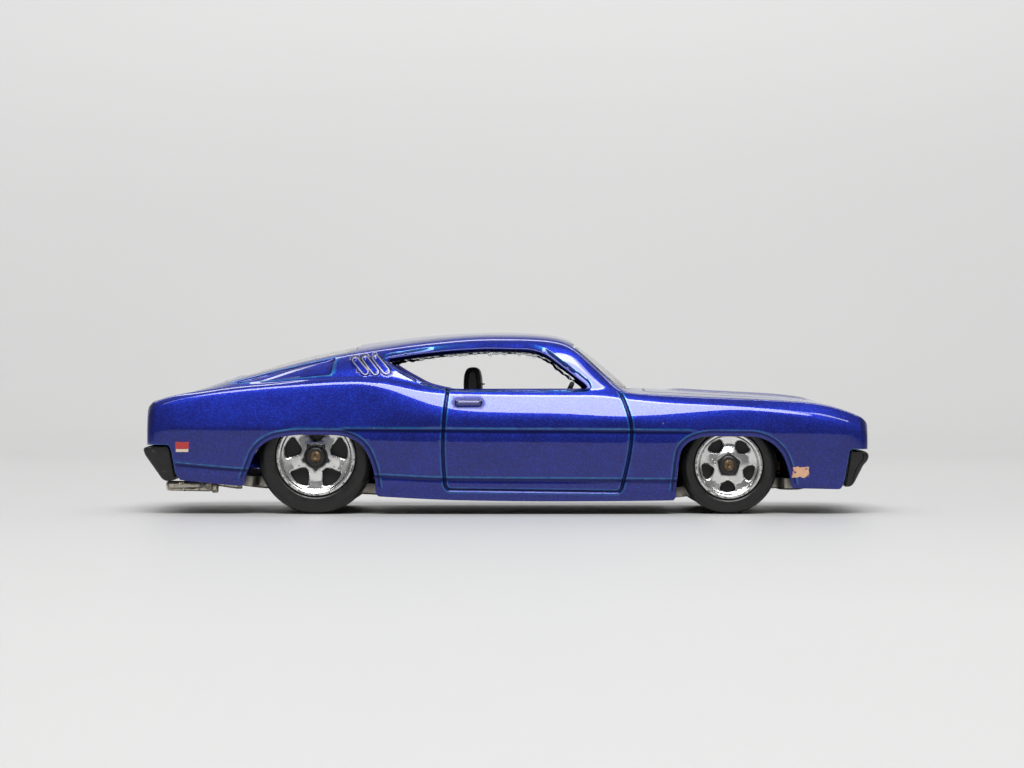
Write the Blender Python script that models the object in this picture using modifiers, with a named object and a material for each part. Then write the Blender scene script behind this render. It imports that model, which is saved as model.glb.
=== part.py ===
"""A small die-cast collector car: a late-1960s fastback coupe at about 1:65.

Every size below is in millimetres and is multiplied by MM when a mesh is made. The car stands on
z = 0, its front points to +X, its left side is +Y, and x = 0 is the middle of its length.
The body surface is a loft. Seven long lines, from the centre of the roof to the foot of the sill,
say where its section turns at each x, and each section is a polygon through them, rounded.
"""

import math

import bmesh
import bpy
import numpy as np
from mathutils import Matrix

MM = 0.001

# driving sizes
WALL = 0.8  # thickness of the cast body
GAP = 0.1  # clearance between pieces that touch on the real car
REAR_AXLE = (-20.5, 6.2)  # x and z; the height is also the tyre's radius
FRONT_AXLE = (23.9, 5.28)
AXLE_RADIUS = 0.45
AXLE_HEAD_RADIUS = 0.75
AXLE_HEAD_THICK = 0.35
REAR_WHEEL_FACE = 13.2  # distance of the tyre's outer face from the centre plane
FRONT_WHEEL_FACE = 13.0
REAR_TYRE_WIDTH = 3.8
FRONT_TYRE_WIDTH = 3.2
REAR_RIM_RADIUS = 4.25
FRONT_RIM_RADIUS = 3.65
SPOKES = 5
REAR_WINDOW_TURN = 16.0  # degrees from +X to the first gap between spokes
FRONT_WINDOW_TURN = 52.0

TAIL_X = -38.66  # body ends at its corners
NOSE_X = 38.85
END_ROUND = 0.9  # radius of the body's rounded ends
TAIL_BOW = 0.35  # how far the middle of each end stands out past its corners
NOSE_BOW = 0.5
BUMPER_BOW = 0.72
BOW_START = 33.0  # the bow fades out towards this x

BASE_BOTTOM = 1.45
BASE_THICK = 1.1
RIVETS = {"rivet_front": (31.6, 11.0), "rivet_rear": (-31.0, 12.2)}  # x, and z of the post's top
RIVET_RADIUS = 1.1
RIVET_HEAD_RADIUS = 1.7
RIVET_HEAD_THICK = 0.35
SEAT_Y = 5.4
WEB_DEPTH = WALL + 0.25  # top of the clear insert below the outer surface, under the roof
WEB_THICK = 0.35
PANE_DEPTH = 0.25  # its panes below the outer surface, inside their openings
PANE_THICK = 0.8
PANE_CLEARANCE = 0.25  # around each pane, to the edge of its opening

# the long lines, each as (x, y, z) from tail to nose on the left side
ROOF_CENTRE = [
    (-38.7, 0, 12.2), (-37.2, 0, 12.55), (-34.8, 0, 13.15), (-31.6, 0, 14.2), (-30.0, 0, 14.85),
    (-27.4, 0, 15.72), (-24.0, 0, 16.74), (-20.5, 0, 17.6), (-16.4, 0, 18.38), (-12.7, 0, 18.9),
    (-8.2, 0, 19.42), (-4.0, 0, 19.7), (-0.2, 0, 19.79), (3.8, 0, 19.62), (5.8, 0, 19.3),
    (7.2, 0, 18.85), (9.9, 0, 17.0), (12.75, 0, 14.6), (13.9, 0, 13.68), (15.0, 0, 13.6),
    (19.3, 0, 13.38), (23.1, 0, 13.15), (29.4, 0, 12.8), (32.0, 0, 12.52), (34.5, 0, 12.05),
    (36.8, 0, 11.35), (38.2, 0, 10.6), (38.85, 0, 10.15),
]
ROOF_EDGE = [
    (-38.7, 11.3, 12.0), (-37.2, 11.4, 12.35), (-34.8, 11.3, 12.9), (-31.6, 11.0, 13.8),
    (-29.75, 10.8, 14.4), (-25.4, 10.6, 15.5), (-22.1, 10.5, 16.35), (-18.3, 10.4, 17.1),
    (-13.3, 10.3, 17.85), (-7.8, 10.2, 18.5), (-2.1, 10.15, 18.9), (2.7, 10.15, 18.88),
    (5.0, 10.2, 18.75), (6.4, 10.3, 18.5), (7.4, 10.45, 18.0), (9.64, 11.0, 15.9),
    (12.1, 11.75, 13.65), (13.2, 11.9, 13.1), (18.6, 11.6, 12.85), (28.2, 11.2, 12.42),
    (33.1, 11.0, 12.0), (36.4, 10.9, 11.2), (38.0, 10.8, 10.5), (38.85, 10.8, 10.05),
]
BELT = [
    (-38.7, 12.5, 11.7), (-37.4, 12.6, 12.3), (-36.65, 12.65, 12.6), (-33.4, 12.7, 13.2),
    (-29.3, 12.75, 13.8), (-24.0, 12.85, 14.25), (-18.8, 12.95, 14.7), (-14.8, 13.0, 14.8),
    (-11.5, 12.95, 14.4), (-8.5, 12.9, 13.85), (-5.5, 12.85, 13.6), (0.0, 12.8, 13.52),
    (6.0, 12.8, 13.45), (10.0, 12.8, 13.36), (13.0, 12.8, 13.05), (18.6, 12.8, 12.7),
    (28.2, 12.75, 12.28), (33.1, 12.6, 11.95), (36.4, 12.4, 11.2), (38.0, 12.3, 10.55),
    (38.85, 12.2, 10.1),
]
SHOULDER = [
    (-38.7, 13.15, 10.6), (-37.2, 13.5, 11.4), (-33.4, 13.8, 12.3), (-29.7, 13.9, 12.8),
    (-21.9, 14.0, 13.4), (-15.7, 14.05, 13.6), (-12.0, 14.0, 13.2), (-8.0, 13.95, 12.4),
    (-4.0, 13.9, 12.0), (5.0, 13.9, 11.8), (13.0, 13.85, 11.5), (20.0, 13.8, 11.3),
    (28.2, 13.65, 10.9), (33.1, 13.45, 10.5), (36.0, 13.25, 9.95), (38.85, 12.9, 9.2),
]
SIDE_LINE = [
    (-38.7, 13.5, 9.4), (-36.0, 13.95, 9.35), (-30.0, 14.3, 9.28), (-20.0, 14.5, 9.22),
    (0.0, 14.5, 9.16), (15.0, 14.4, 9.08), (28.0, 14.1, 8.95), (34.0, 13.8, 8.85),
    (37.0, 13.5, 8.75), (38.85, 13.2, 8.6),
]
LOWER_LINE = [
    (-38.7, 13.5, 5.9), (-35.2, 13.9, 5.46), (-28.15, 14.2, 4.84), (-14.0, 14.35, 4.2),
    (-6.0, 14.4, 3.85), (10.0, 14.35, 3.75), (18.0, 14.25, 3.7), (30.0, 13.9, 3.95),
    (36.0, 13.5, 4.1), (38.85, 13.2, 4.2),
]
SILL_FOOT = [
    (-38.7, 13.2, 4.2), (-36.0, 13.3, 3.8), (-29.0, 13.5, 3.1), (-20.5, 13.7, 2.5),
    (-14.0, 13.75, 1.95), (-4.0, 13.8, 1.5), (5.6, 13.75, 1.41), (17.7, 13.65, 1.5),
    (24.0, 13.6, 2.2), (30.0, 13.45, 2.8), (36.0, 13.1, 2.68), (38.85, 12.9, 2.6),
]
LONG_LINES = (ROOF_CENTRE, ROOF_EDGE, BELT, SHOULDER, SIDE_LINE, LOWER_LINE, SILL_FOOT)
# how far each line is smoothed along x, as (x, distance): short where the windscreen turns
SOFTNESS = [(-40, 1.2), (2, 1.2), (6.5, 0.8), (11.5, 0.8), (13.5, 0.45), (16, 0.8), (20, 1.2), (40, 1.2)]
# how far each section corner is rounded, as a share of the spans beside it
CORNER_ROUND = np.array([0.3, 0.12, 0.16, 0.42, 0.06, 0.09, 0.0])
# how far each span bulges; the first span is a parabola over the roof, so it has none
SIDE_BULGE = [(-40, 0.03), (-31, 0.05), (-27, 0.1), (-14, 0.25), (4, 0.25), (10, 0.15), (14, 0.03), (40, 0.03)]
BULGE = (0.0, None, 0.12, 0.18, 0.02, 0.12)

# openings, as outlines in side view (x, z)
SIDE_WINDOW = [
    (-13.1, 16.85), (-9.8, 17.35), (-6.0, 17.75), (-2.1, 17.95), (2.6, 17.85), (4.2, 17.35),
    (9.0, 13.62), (-4.8, 13.62), (-6.6, 13.75), (-8.8, 14.25), (-11.4, 15.7),
]
REAR_ARCH = [
    (-28.2, 0.0), (-28.1, 3.2), (-27.5, 5.2), (-26.8, 7.0), (-25.2, 8.15), (-22.6, 8.55),
    (-17.9, 8.5), (-16.4, 8.1), (-15.2, 7.1), (-14.3, 5.0), (-14.0, 2.2), (-13.9, 0.0),
]
FRONT_ARCH = [
    (18.1, 0.0), (18.2, 2.2), (18.5, 5.6), (18.8, 7.1), (19.8, 7.95), (21.4, 8.4), (26.9, 8.35),
    (28.5, 7.7), (29.7, 6.4), (30.3, 4.6), (30.5, 2.6), (30.6, 0.0),
]
TAIL_NOTCH = [
    (-42.0, 7.47), (-36.25, 7.47), (-36.05, 7.0), (-35.8, 5.8), (-35.6, 4.4), (-35.15, 3.75),
    (-34.6, 3.0), (-34.5, 0.0), (-42.0, 0.0),
]
NOSE_NOTCH = [
    (42.0, 6.95), (37.0, 7.0), (36.86, 6.6), (36.5, 4.6), (36.26, 3.2), (35.8, 2.6), (35.6, 0.0),
    (42.0, 0.0),
]
REAR_BUMPER = [
    (-36.4, 7.33), (-38.2, 7.33), (-38.75, 7.1), (-38.6, 6.4), (-36.9, 3.75), (-36.5, 3.55),
    (-35.5, 3.7), (-35.75, 4.35), (-36.0, 5.8), (-36.2, 6.95),
]
FRONT_BUMPER = [
    (37.05, 6.75), (38.45, 6.75), (38.75, 6.3), (38.6, 5.75), (38.2, 5.3), (37.25, 3.25),
    (36.95, 2.95), (36.3, 2.95), (36.45, 3.25), (36.7, 4.6), (37.0, 6.4),
]
# the windscreen seen from the front (y, z), and the rear window seen from above (x, y): left halves
WINDSCREEN = [(0.0, 13.98), (8.0, 13.95), (10.6, 13.75), (10.75, 14.2), (9.7, 17.5), (9.2, 18.1), (7.5, 18.4), (0.0, 18.6)]
REAR_WINDOW = [(-29.0, 0.0), (-28.9, 8.9), (-28.3, 9.5), (-17.6, 9.2), (-16.6, 8.6), (-16.0, 0.0)]
GRILLE = {"half_width": 11.0, "low": 7.35, "high": 9.35, "thick": 1.1}
LAMP_RADIUS = 0.85
LAMP_CENTRES = (7.55, 9.75)  # y of the two lamps on each side

X_GRID = np.linspace(-46.0, 46.0, 4601)


# ---- the body surface ----

def monotone_curve(x, points):
    """A cubic through (x, value) points that never overshoots them, straight past its ends."""
    px, pv = (np.array(column, dtype=float) for column in zip(*points))
    step = np.diff(px)
    slope = np.diff(pv) / step
    tangent = np.zeros_like(px)
    tangent[0], tangent[-1] = slope[0], slope[-1]
    same_way = slope[:-1] * slope[1:] > 0
    w1 = 2 * step[1:] + step[:-1]
    w2 = step[1:] + 2 * step[:-1]
    mean = (w1 + w2) / (w1 / np.where(same_way, slope[:-1], 1) + w2 / np.where(same_way, slope[1:], 1))
    tangent[1:-1] = np.where(same_way, mean, 0.0)
    i = np.clip(np.searchsorted(px, x) - 1, 0, len(px) - 2)
    t = np.clip((x - px[i]) / step[i], 0.0, 1.0)
    value = (
        pv[i] * (1 + 2 * t) * (1 - t) ** 2 + tangent[i] * step[i] * t * (1 - t) ** 2
        + pv[i + 1] * t * t * (3 - 2 * t) + tangent[i + 1] * step[i] * t * t * (t - 1)
    )
    before = np.minimum(x - px[0], 0.0) * tangent[0]
    after = np.maximum(x - px[-1], 0.0) * tangent[-1]
    return value + before + after


def box_average(values, reach):
    """Each value becomes the mean of its neighbours within reach, on X_GRID."""
    area = np.concatenate([[0.0], np.cumsum((values[1:] + values[:-1]) / 2 * np.diff(X_GRID))])
    low, high = X_GRID - reach, X_GRID + reach
    inside = (low >= X_GRID[0]) & (high <= X_GRID[-1])
    mean = (np.interp(high, X_GRID, area) - np.interp(low, X_GRID, area)) / (2 * reach)
    return np.where(inside, mean, values)


def long_line(points):
    """The y and z of one long line on X_GRID, smoothed twice along x."""
    reach = np.interp(X_GRID, *zip(*SOFTNESS))
    out = []
    for column in (1, 2):
        values = monotone_curve(X_GRID, [(p[0], p[column]) for p in points])
        for _ in range(2):
            values = box_average(values, reach)
        out.append(values)
    return out


LINE_TABLES = [long_line(points) for points in LONG_LINES]


def span_area(a, b, bulge, t):
    """The integral from 0 to t of a span from point a to point b that bulges outwards."""
    run = b - a
    length = np.maximum(np.linalg.norm(run, axis=0), 1e-9)
    out = np.stack([-run[1], run[0]]) / length
    return a * t + run * t * t / 2 + 4 * bulge * out * (t * t / 2 - t**3 / 3)


def roof_area(a, b, t):
    """The same for the first span: y grows evenly and z falls as a parabola."""
    y = b[0] * t * t / 2
    z = a[1] * t + (b[1] - a[1]) * t**3 / 3
    return np.stack([y, z])


def section_area(keys, bulges, s):
    """The integral of the section polygon from the roof centre to parameter s."""
    side = np.sign(s)
    s = np.abs(s)
    total = np.zeros((2,) + s.shape)
    for k in range(6):
        t = np.clip(s - k, 0.0, 1.0)
        if k == 5:
            t = np.maximum(s - k, 0.0)
        if k == 0:
            total += roof_area(keys[0], keys[1], t)
        else:
            total += span_area(keys[k], keys[k + 1], bulges[k], t)
    total[1] *= np.where(side < 0, -1.0, 1.0)
    return total


def section(x, v):
    """The section's (y, z) at each x and each parameter v, from 0 at the roof centre to 6."""
    x, v = np.broadcast_arrays(np.asarray(x, dtype=float), np.asarray(v, dtype=float))
    keys = [np.stack([np.interp(x, X_GRID, table) for table in pair]) for pair in LINE_TABLES]
    side_bulge = np.interp(x, *zip(*SIDE_BULGE))
    bulges = [side_bulge if b is None else b for b in BULGE]
    k = np.clip(np.floor(v).astype(int), 0, 5)
    blend = (1 - np.cos(np.pi * (v - k))) / 2
    reach = CORNER_ROUND[k] * (1 - blend) + CORNER_ROUND[k + 1] * blend
    reach = np.maximum(reach, 0.002)
    high = section_area(keys, bulges, v + reach)
    low = section_area(keys, bulges, v - reach)
    return (high - low) / (2 * reach)


def section_normal(x, v):
    """The section's outward direction in its own plane."""
    step = 0.01
    run = section(x, v + step) - section(x, v - step)
    out = np.stack([-run[1], run[0]])
    return out / np.linalg.norm(out, axis=0)


def end_inset(x):
    """How far the section shrinks where the body's ends round over."""
    past = np.maximum(np.maximum(TAIL_X + END_ROUND - x, x - NOSE_X + END_ROUND), 0.0)
    past = np.minimum(past, END_ROUND)
    return END_ROUND - np.sqrt(END_ROUND**2 - past**2)


def bowed(x, y):
    """x moved out towards the middle of the tail and of the nose."""
    share = np.clip((np.abs(x) - BOW_START) / (NOSE_X - BOW_START), 0.0, 1.0)
    bow = np.where(x > 0, NOSE_BOW, -TAIL_BOW)
    return x + bow * share**2 * (1 - (y / 13.0) ** 2)


def skin_points(x, v, inset=0.0):
    """Points on the body surface, or inset below it, for the left side."""
    y, z = section(x, v)
    if inset:
        out_y, out_z = section_normal(x, v)
        y = y - out_y * inset
        z = z - out_z * inset
    shrink = end_inset(np.asarray(x, dtype=float))
    y = y - shrink * y / 13.0
    z = z - shrink * np.clip((z - 5.0) / 7.0, 0.0, 1.0)
    y = np.where(np.asarray(v) == 0, 0.0, y)
    return np.stack([bowed(x, y), y, z], axis=-1)


# ---- helpers ----

def clear_scene():
    for obj in list(bpy.data.objects):
        bpy.data.objects.remove(obj, do_unlink=True)


def make_collection(name):
    made = bpy.data.collections.new(name)
    bpy.context.scene.collection.children.link(made)
    return made


def make_material(name, colour, roughness, metallic=0.0, alpha=1.0):
    made = bpy.data.materials.new(name)
    made.use_nodes = True
    shader = made.node_tree.nodes["Principled BSDF"]
    shader.inputs["Base Color"].default_value = (*colour, 1.0)
    shader.inputs["Roughness"].default_value = roughness
    shader.inputs["Metallic"].default_value = metallic
    shader.inputs["Alpha"].default_value = alpha
    return made


def add_mesh(name, mesh, material, collection):
    obj = bpy.data.objects.new(name, mesh)
    collection.objects.link(obj)
    mesh.materials.clear()
    if material is not None:
        mesh.materials.append(material)
    return obj


def mesh_from(name, build):
    """A mesh made by a function that fills a bmesh, with its faces turned out."""
    bm = bmesh.new()
    build(bm)
    bmesh.ops.recalc_face_normals(bm, faces=bm.faces)
    if bm.calc_volume(signed=True) < 0:
        bmesh.ops.reverse_faces(bm, faces=bm.faces)
    mesh = bpy.data.meshes.new(name)
    bm.to_mesh(mesh)
    bm.free()
    return mesh


def cap_ring(bm, row, paired):
    """Closes one end of a loft: with one face, or with a ladder between the car's two sides."""
    if not paired:
        bm.faces.new(row)
        return
    last = len(row) - 1
    for i in range(last // 2 - 1):
        bm.faces.new((row[i], row[i + 1], row[last - 1 - i], row[last - i]))
    middle = last // 2
    bm.faces.new((row[middle - 1], row[middle], row[middle + 1]))


def loft(name, rings, material, collection, paired=False):
    """A closed solid through rings of points; each ring is a closed loop, the ends are capped."""
    def build(bm):
        rows = [[bm.verts.new(point * MM) for point in ring] for ring in rings]
        count = len(rows[0])
        for near, far in zip(rows, rows[1:]):
            for i in range(count):
                j = (i + 1) % count
                bm.faces.new((near[i], near[j], far[j], far[i]))
        cap_ring(bm, rows[0], paired)
        cap_ring(bm, rows[-1], paired)
        bmesh.ops.triangulate(bm, faces=bm.faces)
    return add_mesh(name, mesh_from(name, build), material, collection)


def prism(name, outline, low, high, axis, material, collection):
    """An outline extruded from low to high along one axis.

    The outline is (x, z) for axis Y, (y, z) for axis X and (x, y) for axis Z.
    """
    curve = bpy.data.curves.new(name, "CURVE")
    curve.dimensions = "2D"
    curve.fill_mode = "BOTH"
    curve.extrude = (high - low) / 2 * MM
    spline = curve.splines.new("POLY")
    spline.points.add(len(outline) - 1)
    for point, (a, b) in zip(spline.points, outline):
        point.co = (a * MM, b * MM, 0, 1)
    spline.use_cyclic_u = True
    holder = bpy.data.objects.new(name + "_outline", curve)
    collection.objects.link(holder)
    middle = (low + high) / 2 * MM
    placing = {
        "Y": Matrix(((1, 0, 0, 0), (0, 0, -1, middle), (0, 1, 0, 0), (0, 0, 0, 1))),
        "X": Matrix(((0, 0, 1, middle), (1, 0, 0, 0), (0, 1, 0, 0), (0, 0, 0, 1))),
        "Z": Matrix(((1, 0, 0, 0), (0, 1, 0, 0), (0, 0, 1, middle), (0, 0, 0, 1))),
    }[axis]
    holder.matrix_world = placing
    bpy.context.view_layer.update()
    seen = holder.evaluated_get(bpy.context.evaluated_depsgraph_get())
    mesh = bpy.data.meshes.new_from_object(seen)
    mesh.transform(placing)
    bm = bmesh.new()
    bm.from_mesh(mesh)
    bmesh.ops.remove_doubles(bm, verts=bm.verts, dist=1e-7)
    bmesh.ops.recalc_face_normals(bm, faces=bm.faces)
    bm.to_mesh(mesh)
    bm.free()
    bpy.data.objects.remove(holder, do_unlink=True)
    return add_mesh(name, mesh, material, collection)


def both_halves(half):
    """A closed outline from its left half, given as (y, other) from the centre plane round to it."""
    mirrored = [(-y, other) for y, other in reversed(half) if y > 0]
    return half + mirrored


def box(name, low, high, material, collection):
    outline = [(low[0], low[2]), (high[0], low[2]), (high[0], high[2]), (low[0], high[2])]
    return prism(name, outline, low[1], high[1], "Y", material, collection)


def cylinder(name, radius, low, high, centre, axis, material, collection, sides=20):
    """A round bar along an axis; centre is its place in the other two, as in prism."""
    turns = [2 * math.pi * i / sides for i in range(sides)]
    outline = [(centre[0] + radius * math.cos(a), centre[1] + radius * math.sin(a)) for a in turns]
    return prism(name, outline, low, high, axis, material, collection)


def turned(name, profile, steps, material, collection):
    """A profile of (radius, height) points turned about Z; it runs down its outer side."""
    mesh = bpy.data.meshes.new(name)
    bm = bmesh.new()
    verts = [bm.verts.new((radius * MM, 0.0, height * MM)) for radius, height in profile]
    for first, second in zip(verts, verts[1:]):
        bm.edges.new((first, second))
    if profile[0][0] > 0:
        bm.edges.new((verts[-1], verts[0]))
    bm.to_mesh(mesh)
    bm.free()
    obj = add_mesh(name, mesh, material, collection)
    screw = obj.modifiers.new("turn", "SCREW")
    screw.axis = "Z"
    screw.steps = steps
    screw.render_steps = steps
    screw.use_merge_vertices = True
    screw.merge_threshold = 1e-6
    return obj


def shade(obj):
    obj.data.shade_smooth()
    obj.data.set_sharp_from_angle(angle=math.radians(35))


def apply_modifiers(obj):
    """Bakes the modifiers into the mesh, so that later cuts start from one clean mesh."""
    bpy.context.view_layer.update()
    seen = obj.evaluated_get(bpy.context.evaluated_depsgraph_get())
    mesh = bpy.data.meshes.new_from_object(seen)
    obj.modifiers.clear()
    obj.data = mesh


def boolean(obj, other, operation="DIFFERENCE"):
    change = obj.modifiers.new(operation.lower(), "BOOLEAN")
    change.solver = "EXACT"
    change.operation = operation
    change.object = other


def consume(obj, others, operation):
    """Joins or cuts with helper solids and removes them."""
    for other in others:
        boolean(obj, other, operation)
    apply_modifiers(obj)
    for other in others:
        bpy.data.objects.remove(other, do_unlink=True)
    return obj


def hide_cutter(obj):
    obj.hide_render = True
    obj.display_type = "WIRE"
    return obj


# ---- the body ----

SKIN_V = (0, 0.45, 0.85, 1.0, 1.14, 1.6, 1.92, 2.1, 2.5, 2.8, 3.25, 4.0, 4.97, 6.0)
CAVITY_V = (0, 0.5, 0.86, 1.5, 2.0, 2.7, 3.3, 4.0, 5.0)
SKIN_X = np.concatenate([
    [TAIL_X, TAIL_X + 0.15, TAIL_X + 0.45],
    np.linspace(TAIL_X + END_ROUND, -31.6, 4),
    np.linspace(-30.0, -15.0, 6),
    np.linspace(-12.0, 5.0, 6),
    [6.4, 7.4, 10.0, 12.6, 13.7, 15.0],
    np.linspace(19.0, NOSE_X - END_ROUND, 6),
    [NOSE_X - 0.45, NOSE_X - 0.15, NOSE_X],
])
CAVITY_X = (-37.2, -34.0, -30.5, -26.0, -20.0, -14.0, -8.0, -1.0, 5.2, 7.0, 12.0, 13.6, 20.0, 28.0, 34.0, 37.3)


def full_ring(x, params, inset, foot=None):
    """One closed section: the right side, over the roof, the left side and its two feet."""
    left = skin_points(np.full(len(params), float(x)), np.array(params, dtype=float), inset)
    right = left[:0:-1] * (1, -1, 1)
    ring = [*right, *left]
    if foot is not None:
        end = left[-1]
        ring = [(end[0], -end[1], foot), *ring, (end[0], end[1], foot)]
    return np.array(ring)


def rear_window_outline(shrink):
    """The rear window's outline (x, y), made smaller all round by shrink."""
    middle_x = (REAR_WINDOW[0][0] + REAR_WINDOW[-1][0]) / 2
    half = []
    for x, y in REAR_WINDOW:
        half.append((x - math.copysign(shrink, x - middle_x), max(y - shrink, 0.0)))
    return half + [(x, -y) for x, y in reversed(half) if y > 0]


def windscreen_outline(shrink):
    """The windscreen's outline (y, z), made smaller all round by shrink."""
    middle_z = (WINDSCREEN[0][1] + WINDSCREEN[-1][1]) / 2
    half = []
    for y, z in WINDSCREEN:
        half.append((max(y - shrink, 0.0), z - math.copysign(shrink, z - middle_z)))
    return both_halves(half)


def build_body(material, parts, cutters):
    rings = [full_ring(x, SKIN_V, 0.0) for x in SKIN_X]
    body = loft("body_shell", rings, material, parts, paired=True)
    hollow_rings = [full_ring(x, CAVITY_V, WALL, -3.0) for x in CAVITY_X]
    hollow = loft("cut_hollow", hollow_rings, None, cutters, paired=True)
    cuts = [
        hollow,
        box(
            "cut_grille",
            (36.0, -GRILLE["half_width"], GRILLE["low"]),
            (42.0, GRILLE["half_width"], GRILLE["high"]),
            None, cutters,
        ),
        prism("cut_rear_arches", REAR_ARCH, -17, 17, "Y", None, cutters),
        prism("cut_front_arches", FRONT_ARCH, -17, 17, "Y", None, cutters),
        prism("cut_tail_notch", TAIL_NOTCH, -17, 17, "Y", None, cutters),
        prism("cut_nose_notch", NOSE_NOTCH, -17, 17, "Y", None, cutters),
        prism("cut_left_window", SIDE_WINDOW, 8.6, 15, "Y", None, cutters),
        prism("cut_right_window", SIDE_WINDOW, -15, -8.6, "Y", None, cutters),
        prism("cut_windscreen", both_halves(WINDSCREEN), 5.7, 17, "X", None, cutters),
        prism("cut_rear_window", rear_window_outline(0.0), 12, 22, "Z", None, cutters),
    ]
    for cut in cuts:
        boolean(body, hide_cutter(cut))
    return body


# ---- clear plastic ----

WEB_V = (0, 0.4, 0.76)
WEB_X = (-30.6, -28.0, -24.0, -20.0, -15.0, -10.0, -4.0, 1.0, 5.0, 6.6, 7.6, 10.0, 12.3, 13.2)


def glass_band(name, outer, inner, stations, params, collection):
    """A closed band between two depths below the skin."""
    rings = []
    for x in stations:
        over = full_ring(x, params, outer)
        under = full_ring(x, params, inner)
        rings.append(np.concatenate([over, under[::-1]]))
    return loft(name, rings, None, collection)


def build_windows(material, parts, cutters):
    """The insert's web lies under the roof, and its two panes rise into their openings."""
    insert = glass_band("window_insert", WEB_DEPTH, WEB_DEPTH + WEB_THICK, WEB_X, WEB_V, parts)
    insert.data.materials.append(material)
    pane_v = (0, 0.45, 0.8, 1.0, 1.15)
    front = windscreen_outline(PANE_CLEARANCE)
    rear = rear_window_outline(PANE_CLEARANCE)
    for name, stations, outline, span, axis in (
        ("pane_front", (6.2, 6.8, 7.6, 10.0, 12.6, 13.7, 14.4), front, (6.0, 16.0), "X"),
        ("pane_rear", (-29.4, -26.0, -22.0, -18.0, -15.4), rear, (12.0, 22.0), "Z"),
    ):
        pane = glass_band(name, PANE_DEPTH, PANE_DEPTH + PANE_THICK + 0.3, stations, pane_v, cutters)
        limit = prism(name + "_limit", outline, *span, axis, None, cutters)
        consume(pane, [limit], "INTERSECT")
        consume(insert, [pane], "UNION")
    return insert


# ---- interior ----

TUB_OUTER = [
    (-17.4, 13.3), (-17.4, 12.75), (-13.9, 12.7), (-13.4, 3.1), (12.6, 3.1), (13.2, 11.0), (9.5, 11.0),
    (-8.0, 11.6), (-12.6, 13.3),
]
TUB_INNER = [(-13.2, 13.6), (-12.6, 7.6), (-9.4, 7.4), (-8.8, 3.9), (11.9, 3.9), (12.4, 12.0), (-4.0, 14.0)]
TUB_HALF_WIDTH = 11.6
SEAT_SIDE = [
    (-4.55, 3.95), (2.6, 3.95), (2.9, 6.6), (2.2, 7.2), (-1.2, 6.8), (-2.7, 12.6), (-2.75, 14.9),
    (-3.1, 15.6), (-3.8, 15.8), (-4.5, 15.5), (-4.8, 14.6), (-4.95, 12.0),
]
SEAT_FRONT = [(0, 3.0), (2.5, 3.0), (2.5, 12.2), (2.1, 12.9), (1.35, 13.4), (1.3, 15.1), (0.8, 15.9), (0, 16.2)]
DASHBOARD = [(8.4, 9.6), (11.6, 9.6), (11.7, 12.4), (10.6, 12.85), (8.7, 12.6), (8.2, 12.0)]
WHEEL_CENTRE = (6.75, SEAT_Y, 12.65)
WHEEL_TILT = math.radians(25)
WHEEL_RADIUS = 1.55
RIM_RADIUS = 0.2


def build_interior(material, parts, cutters):
    tub = prism("interior_tub", TUB_OUTER, -TUB_HALF_WIDTH, TUB_HALF_WIDTH, "Y", material, parts)
    inner = TUB_HALF_WIDTH - 0.8
    consume(tub, [prism("cut_tub", TUB_INNER, -inner, inner, "Y", None, cutters)], "DIFFERENCE")
    for name, y in (("driver_seat", SEAT_Y), ("passenger_seat", -SEAT_Y)):
        seat = prism(name, SEAT_SIDE, y - 2.6, y + 2.6, "Y", material, parts)
        front = [(y + across, z) for across, z in both_halves(SEAT_FRONT)]
        consume(seat, [prism("seat_front", front, -8, 6, "X", None, cutters)], "INTERSECT")
    prism("dashboard", DASHBOARD, -inner + GAP, inner - GAP, "Y", material, parts)
    build_steering_wheel(material, parts, cutters)


def build_steering_wheel(material, parts, cutters):
    """Rim, cross bar and column, turned so that the rim leans back to the driver."""
    placing = Matrix.Translation([c * MM for c in WHEEL_CENTRE])
    placing = placing @ Matrix.Rotation(math.pi / 2 + WHEEL_TILT, 4, "Y")
    bpy.ops.mesh.primitive_torus_add(
        major_radius=WHEEL_RADIUS * MM, minor_radius=RIM_RADIUS * MM, major_segments=18, minor_segments=6
    )
    rim = bpy.context.active_object
    for holder in list(rim.users_collection):
        holder.objects.unlink(rim)
    parts.objects.link(rim)
    rim.name = "steering_wheel"
    rim.data.materials.append(material)
    reach = WHEEL_RADIUS
    bar = box("bar", (-0.16, -reach, -0.14), (0.16, reach, 0.14), None, cutters)
    hub = cylinder("hub", 0.42, -0.25, 1.4, (0, 0), "Z", None, cutters, sides=10)
    consume(rim, [bar, hub], "UNION")
    rim.data.transform(placing)
    return rim


# ---- trim at the ends ----

def bar_across(name, outline, half_width, bow, material, collection, end_round=0.8):
    """A bar along Y whose outline (x, z) bows out in the middle and rounds in at its ends."""
    middle_x = sum(p[0] for p in outline) / len(outline)
    out = math.copysign(1, middle_x)
    ends = [half_width - end_round * share for share in (0.0, 0.15, 0.5, 1.0)]
    inner = [half_width * share for share in (0.7, 0.35)]
    stations = [-y for y in ends + inner] + [0.0] + [*reversed(inner), *reversed(ends)]
    rings = []
    for y in stations:
        into_end = max(abs(y) - half_width + end_round, 0.0)
        pulled = end_round - math.sqrt(end_round**2 - into_end**2)
        shift = out * (bow * (1 - (y / half_width) ** 2))
        ring = []
        for x, z in outline:
            front = (x - middle_x) * out > 0
            ring.append((x + (shift - out * pulled if front else shift * 0.5), y, z))
        rings.append(np.array(ring))
    return loft(name, rings, material, collection)


def build_bumpers(material, parts):
    bar_across("rear_bumper", REAR_BUMPER, 13.25, BUMPER_BOW, material, parts)
    bar_across("front_bumper", FRONT_BUMPER, 12.95, BUMPER_BOW, material, parts)


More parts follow.
